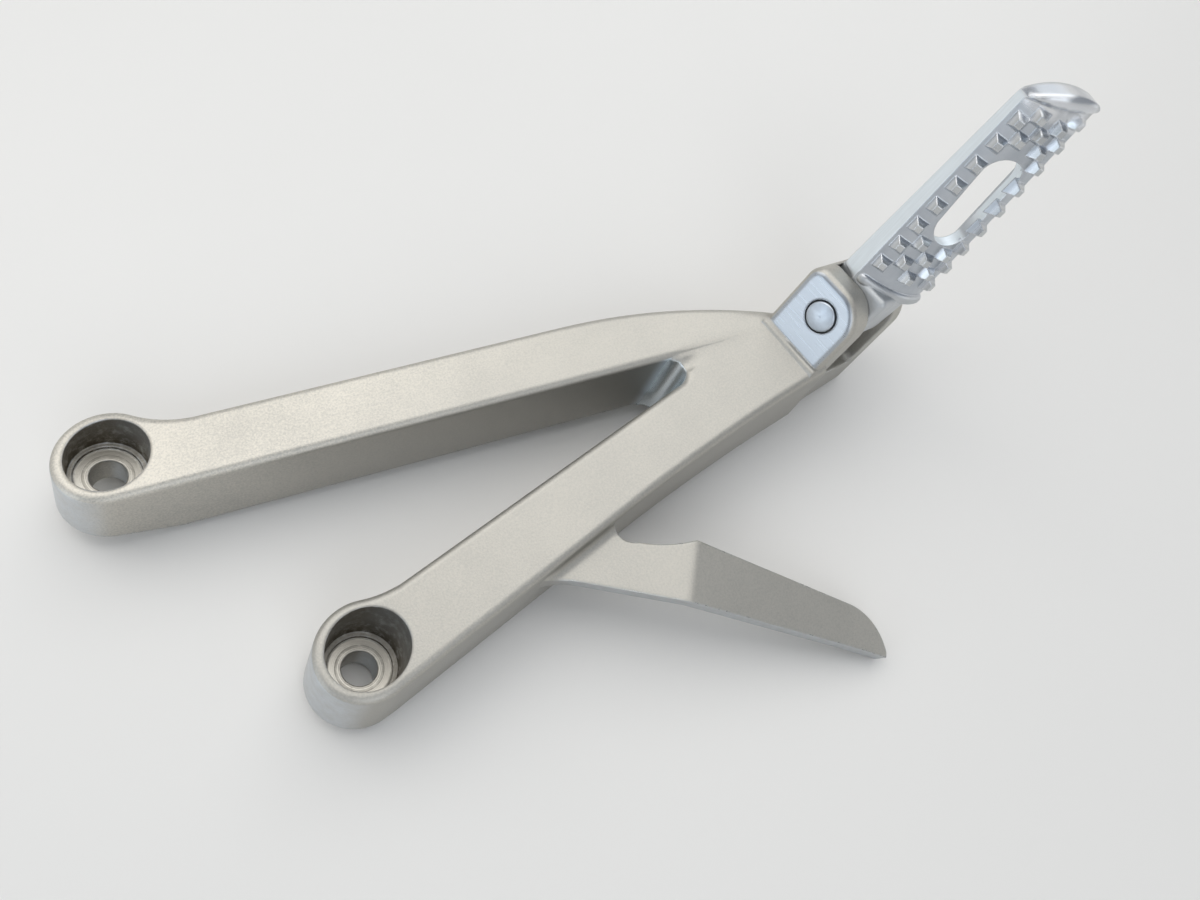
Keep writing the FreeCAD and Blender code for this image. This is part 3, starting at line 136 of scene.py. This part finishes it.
class HardwareFinish(bpy.types.PropertyGroup):
    """Pin, washer, clip, ball and spring"""
    zinc: bpy.props.FloatVectorProperty(
        name="Zinc", description="Plated pin and washer", subtype="COLOR", size=3,
        min=0, max=1, default=(0.62, 0.68, 0.75))
    spring: bpy.props.FloatVectorProperty(
        name="Spring steel", description="Oiled clip and spring", subtype="COLOR", size=3,
        min=0, max=1, default=(0.20, 0.20, 0.21))
    ball: bpy.props.FloatVectorProperty(
        name="Ball", description="Ground ball", subtype="COLOR", size=3,
        min=0, max=1, default=(0.72, 0.73, 0.75))


class StageSet(bpy.types.PropertyGroup):
    """Table, lamps and camera"""
    table: bpy.props.FloatVectorProperty(
        name="Table", description="Colour of the table and of the backdrop", subtype="COLOR", size=3,
        min=0, max=1, default=(0.80, 0.79, 0.77))
    place: bpy.props.FloatVectorProperty(
        name="Camera", description="Place of the camera", subtype="XYZ", size=3, unit="LENGTH",
        default=(-0.07543, -0.05347, 0.26244))
    turn: bpy.props.FloatVectorProperty(
        name="Camera turn", description="Turn of the camera", subtype="EULER", size=3,
        default=(math.radians(20.739), math.radians(-10.814), math.radians(-22.963)))
    lens: bpy.props.FloatProperty(
        name="Lens", description="Focal length on a 36 mm sensor", unit="CAMERA", default=30.0)


class Nodes:
    """Adds shader nodes to a tree and links them up."""

    def __init__(self, tree):
        self.tree = tree

    def node(self, kind, **settings):
        made = self.tree.nodes.new(kind)
        for key, value in settings.items():
            setattr(made, key, value)
        return made

    def feed(self, socket, value):
        """Link a socket, or set a plain value on it."""
        if isinstance(value, bpy.types.NodeSocket):
            self.tree.links.new(value, socket)
        else:
            socket.default_value = value

    def math(self, operation, first, second=0.0):
        made = self.node("ShaderNodeMath", operation=operation)
        self.feed(made.inputs[0], first)
        self.feed(made.inputs[1], second)
        return made.outputs[0]

    def times(self, first, *others):
        """Product of numbers."""
        for other in others:
            first = self.math("MULTIPLY", first, other)
        return first

    def more(self, first, second):
        """The larger of two numbers."""
        return self.math("MAXIMUM", first, second)

    def without(self, value):
        """What is left of one."""
        return self.math("SUBTRACT", 1.0, value)

    def amount(self, value):
        """A number without its sign."""
        return self.math("ABSOLUTE", value)

    def step(self, value, low, high):
        """Smooth rise from nought at one value to one at another, or a fall where low is above high."""
        made = self.node("ShaderNodeMapRange", interpolation_type="SMOOTHSTEP")
        self.feed(made.inputs["Value"], value)
        made.inputs["From Min"].default_value = low
        made.inputs["From Max"].default_value = high
        return made.outputs["Result"]


class Finish(Nodes):
    """Builds one node material."""

    def __init__(self, name):
        self.material = bpy.data.materials.new(name)
        self.material.use_nodes = True
        super().__init__(self.material.node_tree)
        self.shader = self.tree.nodes["Principled BSDF"]
        coordinates = self.node("ShaderNodeTexCoord").outputs
        self.place = coordinates["Object"]
        self.normal = coordinates["Normal"]

    def vector(self, operation, first, second):
        made = self.node("ShaderNodeVectorMath", operation=operation)
        self.feed(made.inputs[0], first)
        self.feed(made.inputs[1], second)
        return made.outputs["Value" if operation in ("DOT_PRODUCT", "LENGTH") else "Vector"]

    def along(self, point, way):
        """Distance along a direction from a point of the part."""
        offset = self.vector("SUBTRACT", self.place, tuple(point))
        return self.vector("DOT_PRODUCT", offset, tuple(way))

    def from_axis(self, point, way):
        """Distance from an axis of the part."""
        offset = self.vector("SUBTRACT", self.place, tuple(point))
        return self.vector("LENGTH", self.vector("CROSS_PRODUCT", offset, tuple(way)), (0, 0, 0))

    def facing(self, way):
        """How squarely the surface faces a direction of the part."""
        return self.vector("DOT_PRODUCT", self.normal, tuple(way))

    def band(self, value, low, high, edge):
        """One between two values, fading to nought over an edge."""
        rise = self.step(value, low - edge, low + edge)
        fall = self.step(value, high + edge, high - edge)
        return self.times(rise, fall)

    def span(self, value, low, high):
        """Nought to one spread between two numbers."""
        made = self.node("ShaderNodeMapRange")
        self.feed(made.inputs["Value"], value)
        made.inputs["To Min"].default_value = low
        made.inputs["To Max"].default_value = high
        return made.outputs["Result"]

    def noise(self, scale, detail, rough, place=None):
        made = self.node("ShaderNodeTexNoise")
        self.feed(made.inputs["Vector"], place or self.place)
        made.inputs["Scale"].default_value = scale
        made.inputs["Detail"].default_value = detail
        made.inputs["Roughness"].default_value = rough
        return made.outputs["Fac"]

    def stretched(self, way, squeeze):
        """Coordinates squeezed along a direction, for drawn-out scratches."""
        length = self.vector("DOT_PRODUCT", self.place, tuple(way))
        shift = self.node("ShaderNodeVectorMath", operation="SCALE")
        shift.inputs[0].default_value = tuple(way)
        self.feed(shift.inputs["Scale"], self.times(length, -squeeze))
        return self.vector("ADD", self.place, shift.outputs["Vector"])

    def ring_place(self, reach, wobble):
        """Coordinates that change only with the distance from an axis, for turned rings."""
        made = self.node("ShaderNodeCombineXYZ")
        self.feed(made.inputs[0], self.times(reach, RINGS_PER_METRE))
        self.feed(made.inputs[1], self.times(wobble, RING_WOBBLE))
        return made.outputs[0]

    def blend(self, share, first, second):
        """Mix of two colours."""
        made = self.node("ShaderNodeMix", data_type="RGBA")
        self.feed(made.inputs["Factor"], share)
        for socket, value in ((made.inputs[6], first), (made.inputs[7], second)):
            self.feed(socket, value if isinstance(value, bpy.types.NodeSocket) else (*value, 1.0))
        return made.outputs[2]

    def mix(self, share, first, second):
        """Mix of two numbers."""
        made = self.node("ShaderNodeMix", data_type="FLOAT")
        self.feed(made.inputs["Factor"], share)
        self.feed(made.inputs[2], first)
        self.feed(made.inputs[3], second)
        return made.outputs[0]

    def edges(self, radius):
        """Rounded normal near edges, and how far it turns from the flat one."""
        soft = self.node("ShaderNodeBevel", samples=EDGE_SAMPLES)
        self.feed(soft.inputs["Radius"], radius)
        flat = self.node("ShaderNodeNewGeometry").outputs["Normal"]
        same = self.vector("DOT_PRODUCT", soft.outputs["Normal"], flat)
        return soft.outputs["Normal"], self.step(same, *EDGE_TURN)

    def bump(self, height, distance, strength, normal=None):
        made = self.node("ShaderNodeBump")
        made.inputs["Strength"].default_value = strength
        made.inputs["Distance"].default_value = distance
        self.feed(made.inputs["Height"], height)
        if normal is not None:
            self.feed(made.inputs["Normal"], normal)
        return made.outputs["Normal"]

    def finish(self, colour, roughness, normal, metallic=1.0):
        self.feed(self.shader.inputs["Base Color"], colour)
        self.feed(self.shader.inputs["Roughness"], roughness)
        self.feed(self.shader.inputs["Metallic"], metallic)
        self.feed(self.shader.inputs["Normal"], normal)
        return self.material


def darker(colour, share):
    """A colour at a share of its brightness."""
    return tuple(part * share for part in colour)


def dress(node, material):
    """Give a node of the part its finish."""
    mesh = frame["nodes"][node].data
    mesh.materials.clear()
    mesh.materials.append(material)


# casting: what the grain, patches and clouds add to its tone, and the tone of a pit and of the face
GRAIN_SHARE, PATCH_SHARE, CLOUD_SHARE = 0.9, 0.36, 0.25
CAST_TONE = (0.44, 1.02)
CAST_ROUGH = (0.40, 0.58)
CAST_BUMP = (0.12 * MM, 0.35)

# its edges, and the crease past the arms that fades into it
EDGE_RADIUS, CREASE_RADIUS = 0.9 * MM, 4.5 * MM
CREASE_REACH = (8.5 * MM, 5.0 * MM)
CREASE_FACE = (0.80, 0.92)
CREASE_RUN = (-2.0 * MM, 2.0 * MM)
RUB_PATCHES = (0.38, 0.62)
RUB_SHARE, RUB_ROUGH = 0.75, 0.26

# its walls with painted shade, the lower arm with painted shade, and the walls with a painted reflection
WALL_FACE = (0.55, 0.25)
CLEVIS_REACH = (14 * MM, 19 * MM)
ARM_RUN, ARM_SHARES = (0.0, 75 * MM), (0.35, 1.0)
WALL_SHADE_SHARES = (0.42, 0.66)
LOWER_ARM_SHADE_RUN, LOWER_ARM_SHADE_SHARES = (25 * MM, 75 * MM), (0.44, 0.66)
BOLT_END_FACE = (0.40, 0.88)
WALL_SHEEN_SHARES, WALL_SHEEN_ROUGH = (0.15, 0.85), 0.33
CROTCH_REACH = (9.5 * MM, 5.5 * MM)
CROTCH_SHARES, CROTCH_ROUGH = (0.75, 1.0), 0.22

# the ear's machined face
EAR_LEVEL = (-0.6 * MM, 0.4 * MM, 0.2 * MM)
EAR_REACH = (16.5 * MM, 15.5 * MM)
EAR_RUN = (-11.7 * MM, -11.2 * MM)
EAR_LINE_STRETCH, EAR_LINE_DEPTH = 0.97, 0.25
EAR_SHADE, EAR_ROUGH = 0.66, (0.22, 0.36)

# the bolt wells
WELL_REACH = (10.4 * MM, 9.8 * MM)
WELL_FLOOR = (4.0 * MM, 4.3 * MM)
WELL_DEPTH, WELL_DEPTH_SHARES = (14 * MM, 4 * MM), (0.60, 1.0)
WELL_UPRIGHT_SHARES = (0.45, 1.0)
DIRT_PATCHES, DIRT_SHARE, DIRT_ROUGH = (0.14, 0.58), 0.92, 0.62
SEAT_REACH = (4.6 * MM, 7.8 * MM, 0.2 * MM)
SEAT_WORN, SEAT_SHARE, SEAT_ROUGH = (0.36, 0.54), 0.92, 0.38


class FOOTREST_OT_bracket(bpy.types.Operator):
    """Blasted casting with worn edges, machined ear and worn bolt wells, painted shade on its walls and lower
    arm, and a painted reflection where the arms meet
    """
    bl_idname = "footrest.bracket"
    bl_label = "Bracket finish"

    def execute(self, context):
        look = context.scene.footrest_cast
        make = Finish("cast_aluminium")
        grain = make.noise(1 / look.grain, *CAST_GRAIN)
        patch = make.noise(*CAST_PATCHES)
        cloud = make.noise(*CAST_CLOUDS)
        tone = make.math("ADD", make.times(grain, GRAIN_SHARE), make.times(patch, PATCH_SHARE))
        tone = make.math("ADD", tone, make.times(cloud, CLOUD_SHARE))
        colour = make.blend(make.step(tone, *CAST_TONE), look.shade, look.colour)
        rough = make.span(grain, *CAST_ROUGH)

        soft, rub = self.rounded(make)
        colour = make.blend(make.times(rub, RUB_SHARE), colour, look.worn)
        rough = make.mix(rub, rough, RUB_ROUGH)
        colour, rough = self.walls(make, look, patch, cloud, colour, rough)
        colour, rough, height = self.ear(make, look, grain, colour, rough)
        for bolt in (upper_bolt, lower_bolt):
            colour, rough = self.well(make, look, bolt, colour, rough)

        normal = make.bump(height, *CAST_BUMP, soft)
        dress("bracket", make.finish(colour, rough, normal))
        return {"FINISHED"}

    def rounded(self, make):
        """Edges with a small round, a crease that fades into the casting, and where the edges are worn."""
        crease = make.times(
            make.step(make.from_axis(arms_meet, crease_way), *CREASE_REACH),
            make.step(make.facing(bolt_way), *CREASE_FACE),
            make.step(make.along(arms_meet, crease_way), *CREASE_RUN))
        soft, edge = make.edges(make.mix(crease, EDGE_RADIUS, CREASE_RADIUS))
        edge = make.times(edge, make.without(crease))
        return soft, make.times(edge, make.step(make.noise(*EDGE_RUB), *RUB_PATCHES))

    def walls(self, make, look, patch, cloud, colour, rough):
        """Walls with painted shade, deeper further along the arms, painted shade on the lower arm, and a
        painted reflection on the walls that face the bolt eyes and at the end of the V.
        """
        # painted shade: upright walls clear of the clevis are darkened in patches, more so further along the
        # arms
        upright = make.step(make.amount(make.facing(bolt_way)), *WALL_FACE)
        clear_of_clevis = make.step(make.from_axis(pivot, pin_way), *CLEVIS_REACH)
        wall = make.times(upright, clear_of_clevis)
        inwards = make.span(make.step(make.along(upper_bolt, (1, 0, 0)), *ARM_RUN), *ARM_SHARES)
        colour = make.blend(make.times(wall, inwards, make.span(patch, *WALL_SHADE_SHARES)), colour, look.wall)

        # painted shade: the lower arm is darkened in clouds towards the colour of the pits
        to_lower_arm = make.along(upper_bolt, (lower_bolt - upper_bolt).normalized())
        lower_arm_shade = make.step(to_lower_arm, *LOWER_ARM_SHADE_RUN)
        colour = make.blend(make.times(lower_arm_shade, make.span(cloud, *LOWER_ARM_SHADE_SHARES)), colour, look.shade)

        # painted reflection: walls facing the bolt eyes and the end of the V are lightened in patches to
        # bright bluish colours
        painted_sheen = make.times(make.step(make.facing(bolt_end), *BOLT_END_FACE), wall)
        painted_sheen = make.times(painted_sheen, make.span(make.noise(*WALL_SHEEN_NOISE), *WALL_SHEEN_SHARES))
        crotch = make.times(make.step(make.from_axis(arms_meet, bolt_way), *CROTCH_REACH), wall)
        painted_sheen = make.more(painted_sheen, make.times(crotch, make.span(patch, *CROTCH_SHARES)))
        colour = make.blend(painted_sheen, colour, make.blend(crotch, look.worn, look.bright))
        rough = make.mix(painted_sheen, rough, make.mix(crotch, WALL_SHEEN_ROUGH, CROTCH_ROUGH))
        return colour, rough

    def ear(self, make, look, grain, colour, rough):
        """Machined face of the front ear, with fine lines across it in place of the grain."""
        level = make.band(make.along(ear_face, pin_way), *EAR_LEVEL)
        near = make.step(make.from_axis(ear_face, pin_way), *EAR_REACH)
        past_arms = make.step(make.along(ear_face, peg_way), *EAR_RUN)
        machined = make.times(level, near, past_arms)
        lines = make.noise(*EAR_LINES, make.stretched(across_ears, EAR_LINE_STRETCH))
        colour = make.blend(machined, colour, darker(look.worn, EAR_SHADE))
        rough = make.mix(machined, rough, make.span(lines, *EAR_ROUGH))
        height = make.mix(machined, grain, make.times(lines, EAR_LINE_DEPTH))
        return colour, rough, height

    def well(self, make, look, bolt, colour, rough):
        """A bolt well: grimy walls, and a seat ringed by screw heads."""
        reach = make.from_axis(bolt, bolt_way)
        lift = make.along(bolt, bolt_way)
        inside = make.times(make.step(reach, *WELL_REACH), make.step(lift, *WELL_FLOOR))
        dirt = make.noise(*WELL_DIRT)
        depth = make.step(lift, *WELL_DEPTH)
        upright = make.step(make.amount(make.facing(bolt_way)), *UPRIGHT_FACE)
        dirty = make.times(
            inside,
            make.step(dirt, *DIRT_PATCHES),
            make.span(depth, *WELL_DEPTH_SHARES),
            make.span(upright, *WELL_UPRIGHT_SHARES))
        rings = make.noise(*SEAT_RINGS, make.ring_place(reach, dirt))
        seat = make.times(make.band(reach, *SEAT_REACH), inside)
        worn = make.times(seat, make.step(rings, *SEAT_WORN))
        colour = make.blend(make.times(dirty, DIRT_SHARE), colour, look.grime)
        colour = make.blend(make.times(worn, SEAT_SHARE), colour, look.colour)
        rough = make.mix(dirty, rough, DIRT_ROUGH)
        rough = make.mix(worn, rough, SEAT_ROUGH)
        return colour, rough


# footpeg: the tread's crown below the pin and beside it, and the slot beside it
CROWN_DROP, CROWN_SHIFT, SLOT_SHIFT = 14.2 * MM, 1.5 * MM, 1.1 * MM
SCRATCH_STRETCH, POLISH_SCRATCH_DEPTH = 0.93, 0.25
PEG_BUMP = (0.06 * MM, 0.3)

# its edges, the slanting end of its tip, and the knuckle with its collar
BAR_RADIUS, TIP_RADIUS, KNUCKLE_RADIUS = 0.5 * MM, 2.4 * MM, 0.4 * MM
END_ALONG, END_ASIDE = 0.866, 0.5
END_FACE, END_RUN = (0.75, 0.90), (64.0 * MM, 66.0 * MM)
TIP_RUN = (71.2 * MM, 72.2 * MM)
KNUCKLE_RUN, KNUCKLE_SHARES, KNUCKLE_ROUGH = (13.4 * MM, 12.4 * MM), (0.5, 0.9), (0.42, 0.56)
PEG_EDGE_SHARE, PEG_EDGE_ROUGH_SHARE, PEG_EDGE_ROUGH = 0.6, 0.7, 0.16

# its matte side and the slot's walls
SIDE_RUN = (10.8 * MM, 70.5 * MM, 0.8 * MM)
SIDE_OUTSIDE, SIDE_FACE = (9.0 * MM, 9.4 * MM), (0.86, 0.97)
SLOT_RUN = (30.0 * MM, 58.0 * MM, 0.3 * MM)
SLOT_HALF_WIDTH = (6.2 * MM, 5.8 * MM)
SIDE_SHADE, SIDE_ROUGH = 0.82, (0.36, 0.50)

# its polish, the valleys between the studs, and the studs
POLISH_SHARES, POLISH_SHADE, POLISH_ROUGH = (0.0, 0.35), 0.8, (0.13, 0.24)
VALLEY_RUN = (12.8 * MM, 69.0 * MM, 1.0 * MM)
VALLEY_REACH, VALLEY_SHARES, VALLEY_ROUGH = (22.6 * MM, 21.0 * MM), (0.45, 0.95), (0.24, 0.38)
STUD_RUN = (14.0 * MM, 71.5 * MM, 0.6 * MM)
STUD_REACH, STUD_SHARES = (21.6 * MM, 22.8 * MM), (0.6, 1.0)


class FOOTREST_OT_footpeg(bpy.types.Operator):
    """Polished tread and tip, darker valleys between the studs, a matte side with a painted bluish sheen and
    a grey knuckle
    """
    bl_idname = "footrest.footpeg"
    bl_label = "Footpeg finish"

    def execute(self, context):
        look = context.scene.footrest_peg
        make = Finish("polished_aluminium")
        sideways = across_ears * math.cos(look.turn) - pin_way * math.sin(look.turn)
        tread_way = -across_ears * math.sin(look.turn) - pin_way * math.cos(look.turn)
        crown = pivot - tread_way * CROWN_DROP - sideways * CROWN_SHIFT

        scratch = make.noise(*PEG_SCRATCHES, make.stretched(peg_way, SCRATCH_STRETCH))
        patch = make.noise(*PEG_PATCHES)
        station = make.along(pivot, peg_way)
        height = make.from_axis(crown, peg_way)
        knuckle = make.step(station, *KNUCKLE_RUN)
        soft, edge = self.rounded(make, station, knuckle, sideways)

        # where the side, the valleys, the studs and the knuckle are
        matte = self.matte(make, station, sideways, tread_way)
        plain = make.without(matte)
        low = make.times(make.step(height, *VALLEY_REACH), make.band(station, *VALLEY_RUN), plain)
        studded = make.times(make.step(height, *STUD_REACH), make.band(station, *STUD_RUN))
        knuckle = make.times(knuckle, plain)

        # the matte side: its own colour with a painted bluish sheen, darker in scratches
        side = make.blend(scratch, darker(look.side, SIDE_SHADE), look.side)
        colour = make.blend(make.span(patch, *POLISH_SHARES), look.colour, darker(look.colour, POLISH_SHADE))
        colour = make.blend(make.times(studded, make.span(patch, *STUD_SHARES)), colour, look.stud)
        colour = make.blend(make.times(low, make.span(patch, *VALLEY_SHARES)), colour, look.valley)
        colour = make.blend(matte, colour, side)
        colour = make.blend(make.times(edge, PEG_EDGE_SHARE), colour, look.colour)
        colour = make.blend(make.times(knuckle, make.span(patch, *KNUCKLE_SHARES)), colour, look.stud)

        rough = make.span(patch, *POLISH_ROUGH)
        rough = make.mix(low, rough, make.span(patch, *VALLEY_ROUGH))
        rough = make.mix(matte, rough, make.span(scratch, *SIDE_ROUGH))
        rough = make.mix(make.times(edge, PEG_EDGE_ROUGH_SHARE), rough, PEG_EDGE_ROUGH)
        rough = make.mix(knuckle, rough, make.span(scratch, *KNUCKLE_ROUGH))

        scored = make.mix(matte, make.times(scratch, POLISH_SCRATCH_DEPTH), scratch)
        normal = make.bump(scored, *PEG_BUMP, soft)
        dress("footpeg", make.finish(colour, rough, normal))
        return {"FINISHED"}

    def rounded(self, make, station, knuckle, sideways):
        """Edges with a small round, larger on the tip, and where they are."""
        end_way = (peg_way * END_ALONG + sideways * END_ASIDE).normalized()
        end_wall = make.step(make.facing(end_way), *END_FACE)
        tip = make.times(end_wall, make.step(station, *END_RUN))
        tip = make.more(tip, make.step(station, *TIP_RUN))
        return make.edges(make.mix(knuckle, make.mix(tip, BAR_RADIUS, TIP_RADIUS), KNUCKLE_RADIUS))

    def matte(self, make, station, sideways, tread_way):
        """Where the footpeg is matte: the outer face of its side, and the walls of the slot."""
        side = make.times(
            make.step(make.facing(sideways), *SIDE_FACE),
            make.band(station, *SIDE_RUN),
            make.step(make.along(pivot, sideways), *SIDE_OUTSIDE))
        slot_middle = pivot - sideways * SLOT_SHIFT
        wall = make.times(
            make.band(station, *SLOT_RUN),
            make.step(make.amount(make.along(slot_middle, sideways)), *SLOT_HALF_WIDTH),
            make.step(make.amount(make.facing(tread_way)), *UPRIGHT_FACE))
        return make.more(side, wall)


# pin, washer, clip, ball and spring: roughness of each finish, and what they share
ZINC_ROUGH, SPRING_ROUGH, BALL_ROUGH = (0.26, 0.46), (0.30, 0.45), (0.08, 0.16)
PLATE_EDGE_RADIUS, PLATE_EDGE_SHARE = 0.3 * MM, 0.5
PLATE_SHARES, PLATE_SHADE = (0.0, 0.8), 0.72
PLATE_RING_ROUGH = 0.06
PLATE_BUMP = (0.04 * MM, 0.25)


class FOOTREST_OT_hardware(bpy.types.Operator):
    """Zinc plate on the pin and washer, oiled spring steel and a ground ball"""
    bl_idname = "footrest.hardware"
    bl_label = "Pin, washer, clip, ball and spring"

    def execute(self, context):
        look = context.scene.footrest_hardware
        for name, colour, nodes, spread in (
                ("zinc_plate", look.zinc, ("pivot_pin", "pin_washer"), ZINC_ROUGH),
                ("oiled_spring_steel", look.spring, ("retaining_clip", "detent_spring"), SPRING_ROUGH),
                ("ground_ball_steel", look.ball, ("detent_ball",), BALL_ROUGH)):
            make = Finish(name)
            patch = make.noise(*PLATE_PATCHES)
            turned = make.noise(*PLATE_RINGS, make.ring_place(make.from_axis(pivot, pin_way), patch))
            soft, edge = make.edges(PLATE_EDGE_RADIUS)
            tone = make.blend(make.span(patch, *PLATE_SHARES), colour, darker(colour, PLATE_SHADE))
            tone = make.blend(make.times(edge, PLATE_EDGE_SHARE), tone, colour)
            rough = make.math("ADD", make.span(patch, *spread), make.times(turned, PLATE_RING_ROUGH))
            normal = make.bump(turned, *PLATE_BUMP, soft)
            material = make.finish(tone, rough, normal)
            for node in nodes:
                dress(node, material)
        return {"FINISHED"}


# table
TABLE_SIZE = 5.0
TABLE_SHARES, TABLE_SHADE, TABLE_ROUGH = (0.0, 0.25), 0.93, (0.32, 0.46)
TABLE_BUMP = (0.2 * MM, 0.08)

# lamps: name, place, width, power, tint
LAMPS = (
    ("ceiling", (0.42, 0.68, 1.40), 1.75, 12.6, (1.0, 0.985, 0.955)),
    ("window", (-0.75, 0.95, 1.20), 1.4, 8.0, (1.0, 0.97, 0.92)),
    ("sky", (-1.20, -0.08, 0.37), 0.7, 1.9, (0.80, 0.90, 1.0)),
    ("far_window", (1.05, 1.05, 0.78), 0.9, 1.5, (0.93, 0.97, 1.0)),
    ("wall", (1.30, -0.60, 0.32), 0.6, 0.6, (0.95, 0.975, 1.0)),
    ("room", (-0.30, -1.15, 1.05), 1.2, 5.6, (0.95, 0.975, 1.0)),
)
LAMPS_AIM = Vector((0.0, 0.0, 0.02))

# room light, and how high the backdrop stands in reflections
ROOM_COLOUR = (0.88, 0.93, 1.0, 1.0)
ROOM_STRENGTH = 0.36
BACKDROP_TOP = (0.28, 0.12)

# camera
SENSOR_WIDTH = 36.0
CLIP_START = 0.01


class FOOTREST_OT_stage(bpy.types.Operator):
    """Pale table and backdrop, soft lamps and the camera"""
    bl_idname = "footrest.stage"
    bl_label = "Stage"

    def execute(self, context):
        look = context.scene.footrest_stage
        scene = context.scene
        bpy.ops.object.select_all(action="DESELECT")
        bpy.ops.mesh.primitive_plane_add(size=TABLE_SIZE, location=(0, 0, 0))
        table = context.object
        table.name = "table"
        make = Finish("pale_table")
        wear = make.noise(*TABLE_WEAR)
        colour = make.blend(make.span(wear, *TABLE_SHARES), look.table, darker(look.table, TABLE_SHADE))
        normal = make.bump(make.noise(*TABLE_GRAIN), *TABLE_BUMP)
        rough = make.span(wear, *TABLE_ROUGH)
        table.data.materials.append(make.finish(colour, rough, normal, metallic=0.0))

        for name, place, width, power, tint in LAMPS:
            bpy.ops.object.light_add(type="AREA", location=place)
            lamp = context.object
            lamp.name = name
            lamp.data.shape = "SQUARE"
            lamp.data.size = width
            lamp.data.energy = power
            lamp.data.color = tint
            lamp.rotation_euler = (LAMPS_AIM - Vector(place)).to_track_quat("-Z", "Y").to_euler()
        self.room(scene, look)

        bpy.ops.object.camera_add(location=look.place, rotation=look.turn)
        camera = context.object
        camera.name = "camera"
        camera.data.sensor_width = SENSOR_WIDTH
        camera.data.lens = look.lens
        camera.data.clip_start = CLIP_START
        scene.camera = camera
        scene.view_settings.view_transform = "Standard"
        return {"FINISHED"}

    def room(self, scene, look):
        """Dim room light, and a pale backdrop that the camera sees all over and metal sees low down."""
        world = bpy.data.worlds.new("room_light")
        scene.world = world
        world.use_nodes = True
        make = Nodes(world.node_tree)
        room = make.tree.nodes["Background"]
        room.inputs["Color"].default_value = ROOM_COLOUR
        room.inputs["Strength"].default_value = ROOM_STRENGTH
        backdrop = make.node("ShaderNodeBackground")
        backdrop.inputs["Color"].default_value = (*look.table, 1.0)

        rays = make.node("ShaderNodeLightPath").outputs
        mirrored = make.more(rays["Is Glossy Ray"], rays["Is Transmission Ray"])
        height = make.node("ShaderNodeSeparateXYZ")
        make.feed(height.inputs["Vector"], make.node("ShaderNodeTexCoord").outputs["Generated"])
        low = make.times(mirrored, make.step(height.outputs["Z"], *BACKDROP_TOP))
        seen = make.node("ShaderNodeMixShader")
        make.feed(seen.inputs["Fac"], make.more(rays["Is Camera Ray"], low))
        make.feed(seen.inputs[1], room.outputs["Background"])
        make.feed(seen.inputs[2], backdrop.outputs["Background"])
        make.feed(make.tree.nodes["World Output"].inputs["Surface"], seen.outputs["Shader"])


class FOOTREST_PT_panel(bpy.types.Panel):
    """Lists the finishes of the footrest bracket"""
    bl_idname = "FOOTREST_PT_panel"
    bl_label = "Footrest bracket"
    bl_space_type = "VIEW_3D"
    bl_region_type = "UI"
    bl_category = "Footrest"

    def draw(self, context):
        for operator, settings in STEPS:
            box = self.layout.box()
            box.operator(operator)
            group = getattr(context.scene, settings)
            for key in group.__annotations__:
                box.prop(group, key)


STEPS = (
    ("footrest.bracket", "footrest_cast"),
    ("footrest.footpeg", "footrest_peg"),
    ("footrest.hardware", "footrest_hardware"),
    ("footrest.stage", "footrest_stage"),
)
GROUPS = (
    ("footrest_cast", CastFinish),
    ("footrest_peg", PegFinish),
    ("footrest_hardware", HardwareFinish),
    ("footrest_stage", StageSet),
)
CLASSES = (
    FOOTREST_OT_bracket,
    FOOTREST_OT_footpeg,
    FOOTREST_OT_hardware,
    FOOTREST_OT_stage,
    FOOTREST_PT_panel,
)


def register():
    for name, group in GROUPS:
        bpy.utils.register_class(group)
        setattr(bpy.types.Scene, name, bpy.props.PointerProperty(type=group))
    for kind in CLASSES:
        bpy.utils.register_class(kind)


def unregister():
    for kind in reversed(CLASSES):
        bpy.utils.unregister_class(kind)
    for name, group in reversed(GROUPS):
        delattr(bpy.types.Scene, name)
        bpy.utils.unregister_class(group)


def main():
    register()
    bpy.ops.footrest.bracket()
    bpy.ops.footrest.footpeg()
    bpy.ops.footrest.hardware()
    bpy.ops.footrest.stage()


if __name__ == "__main__":
    main()
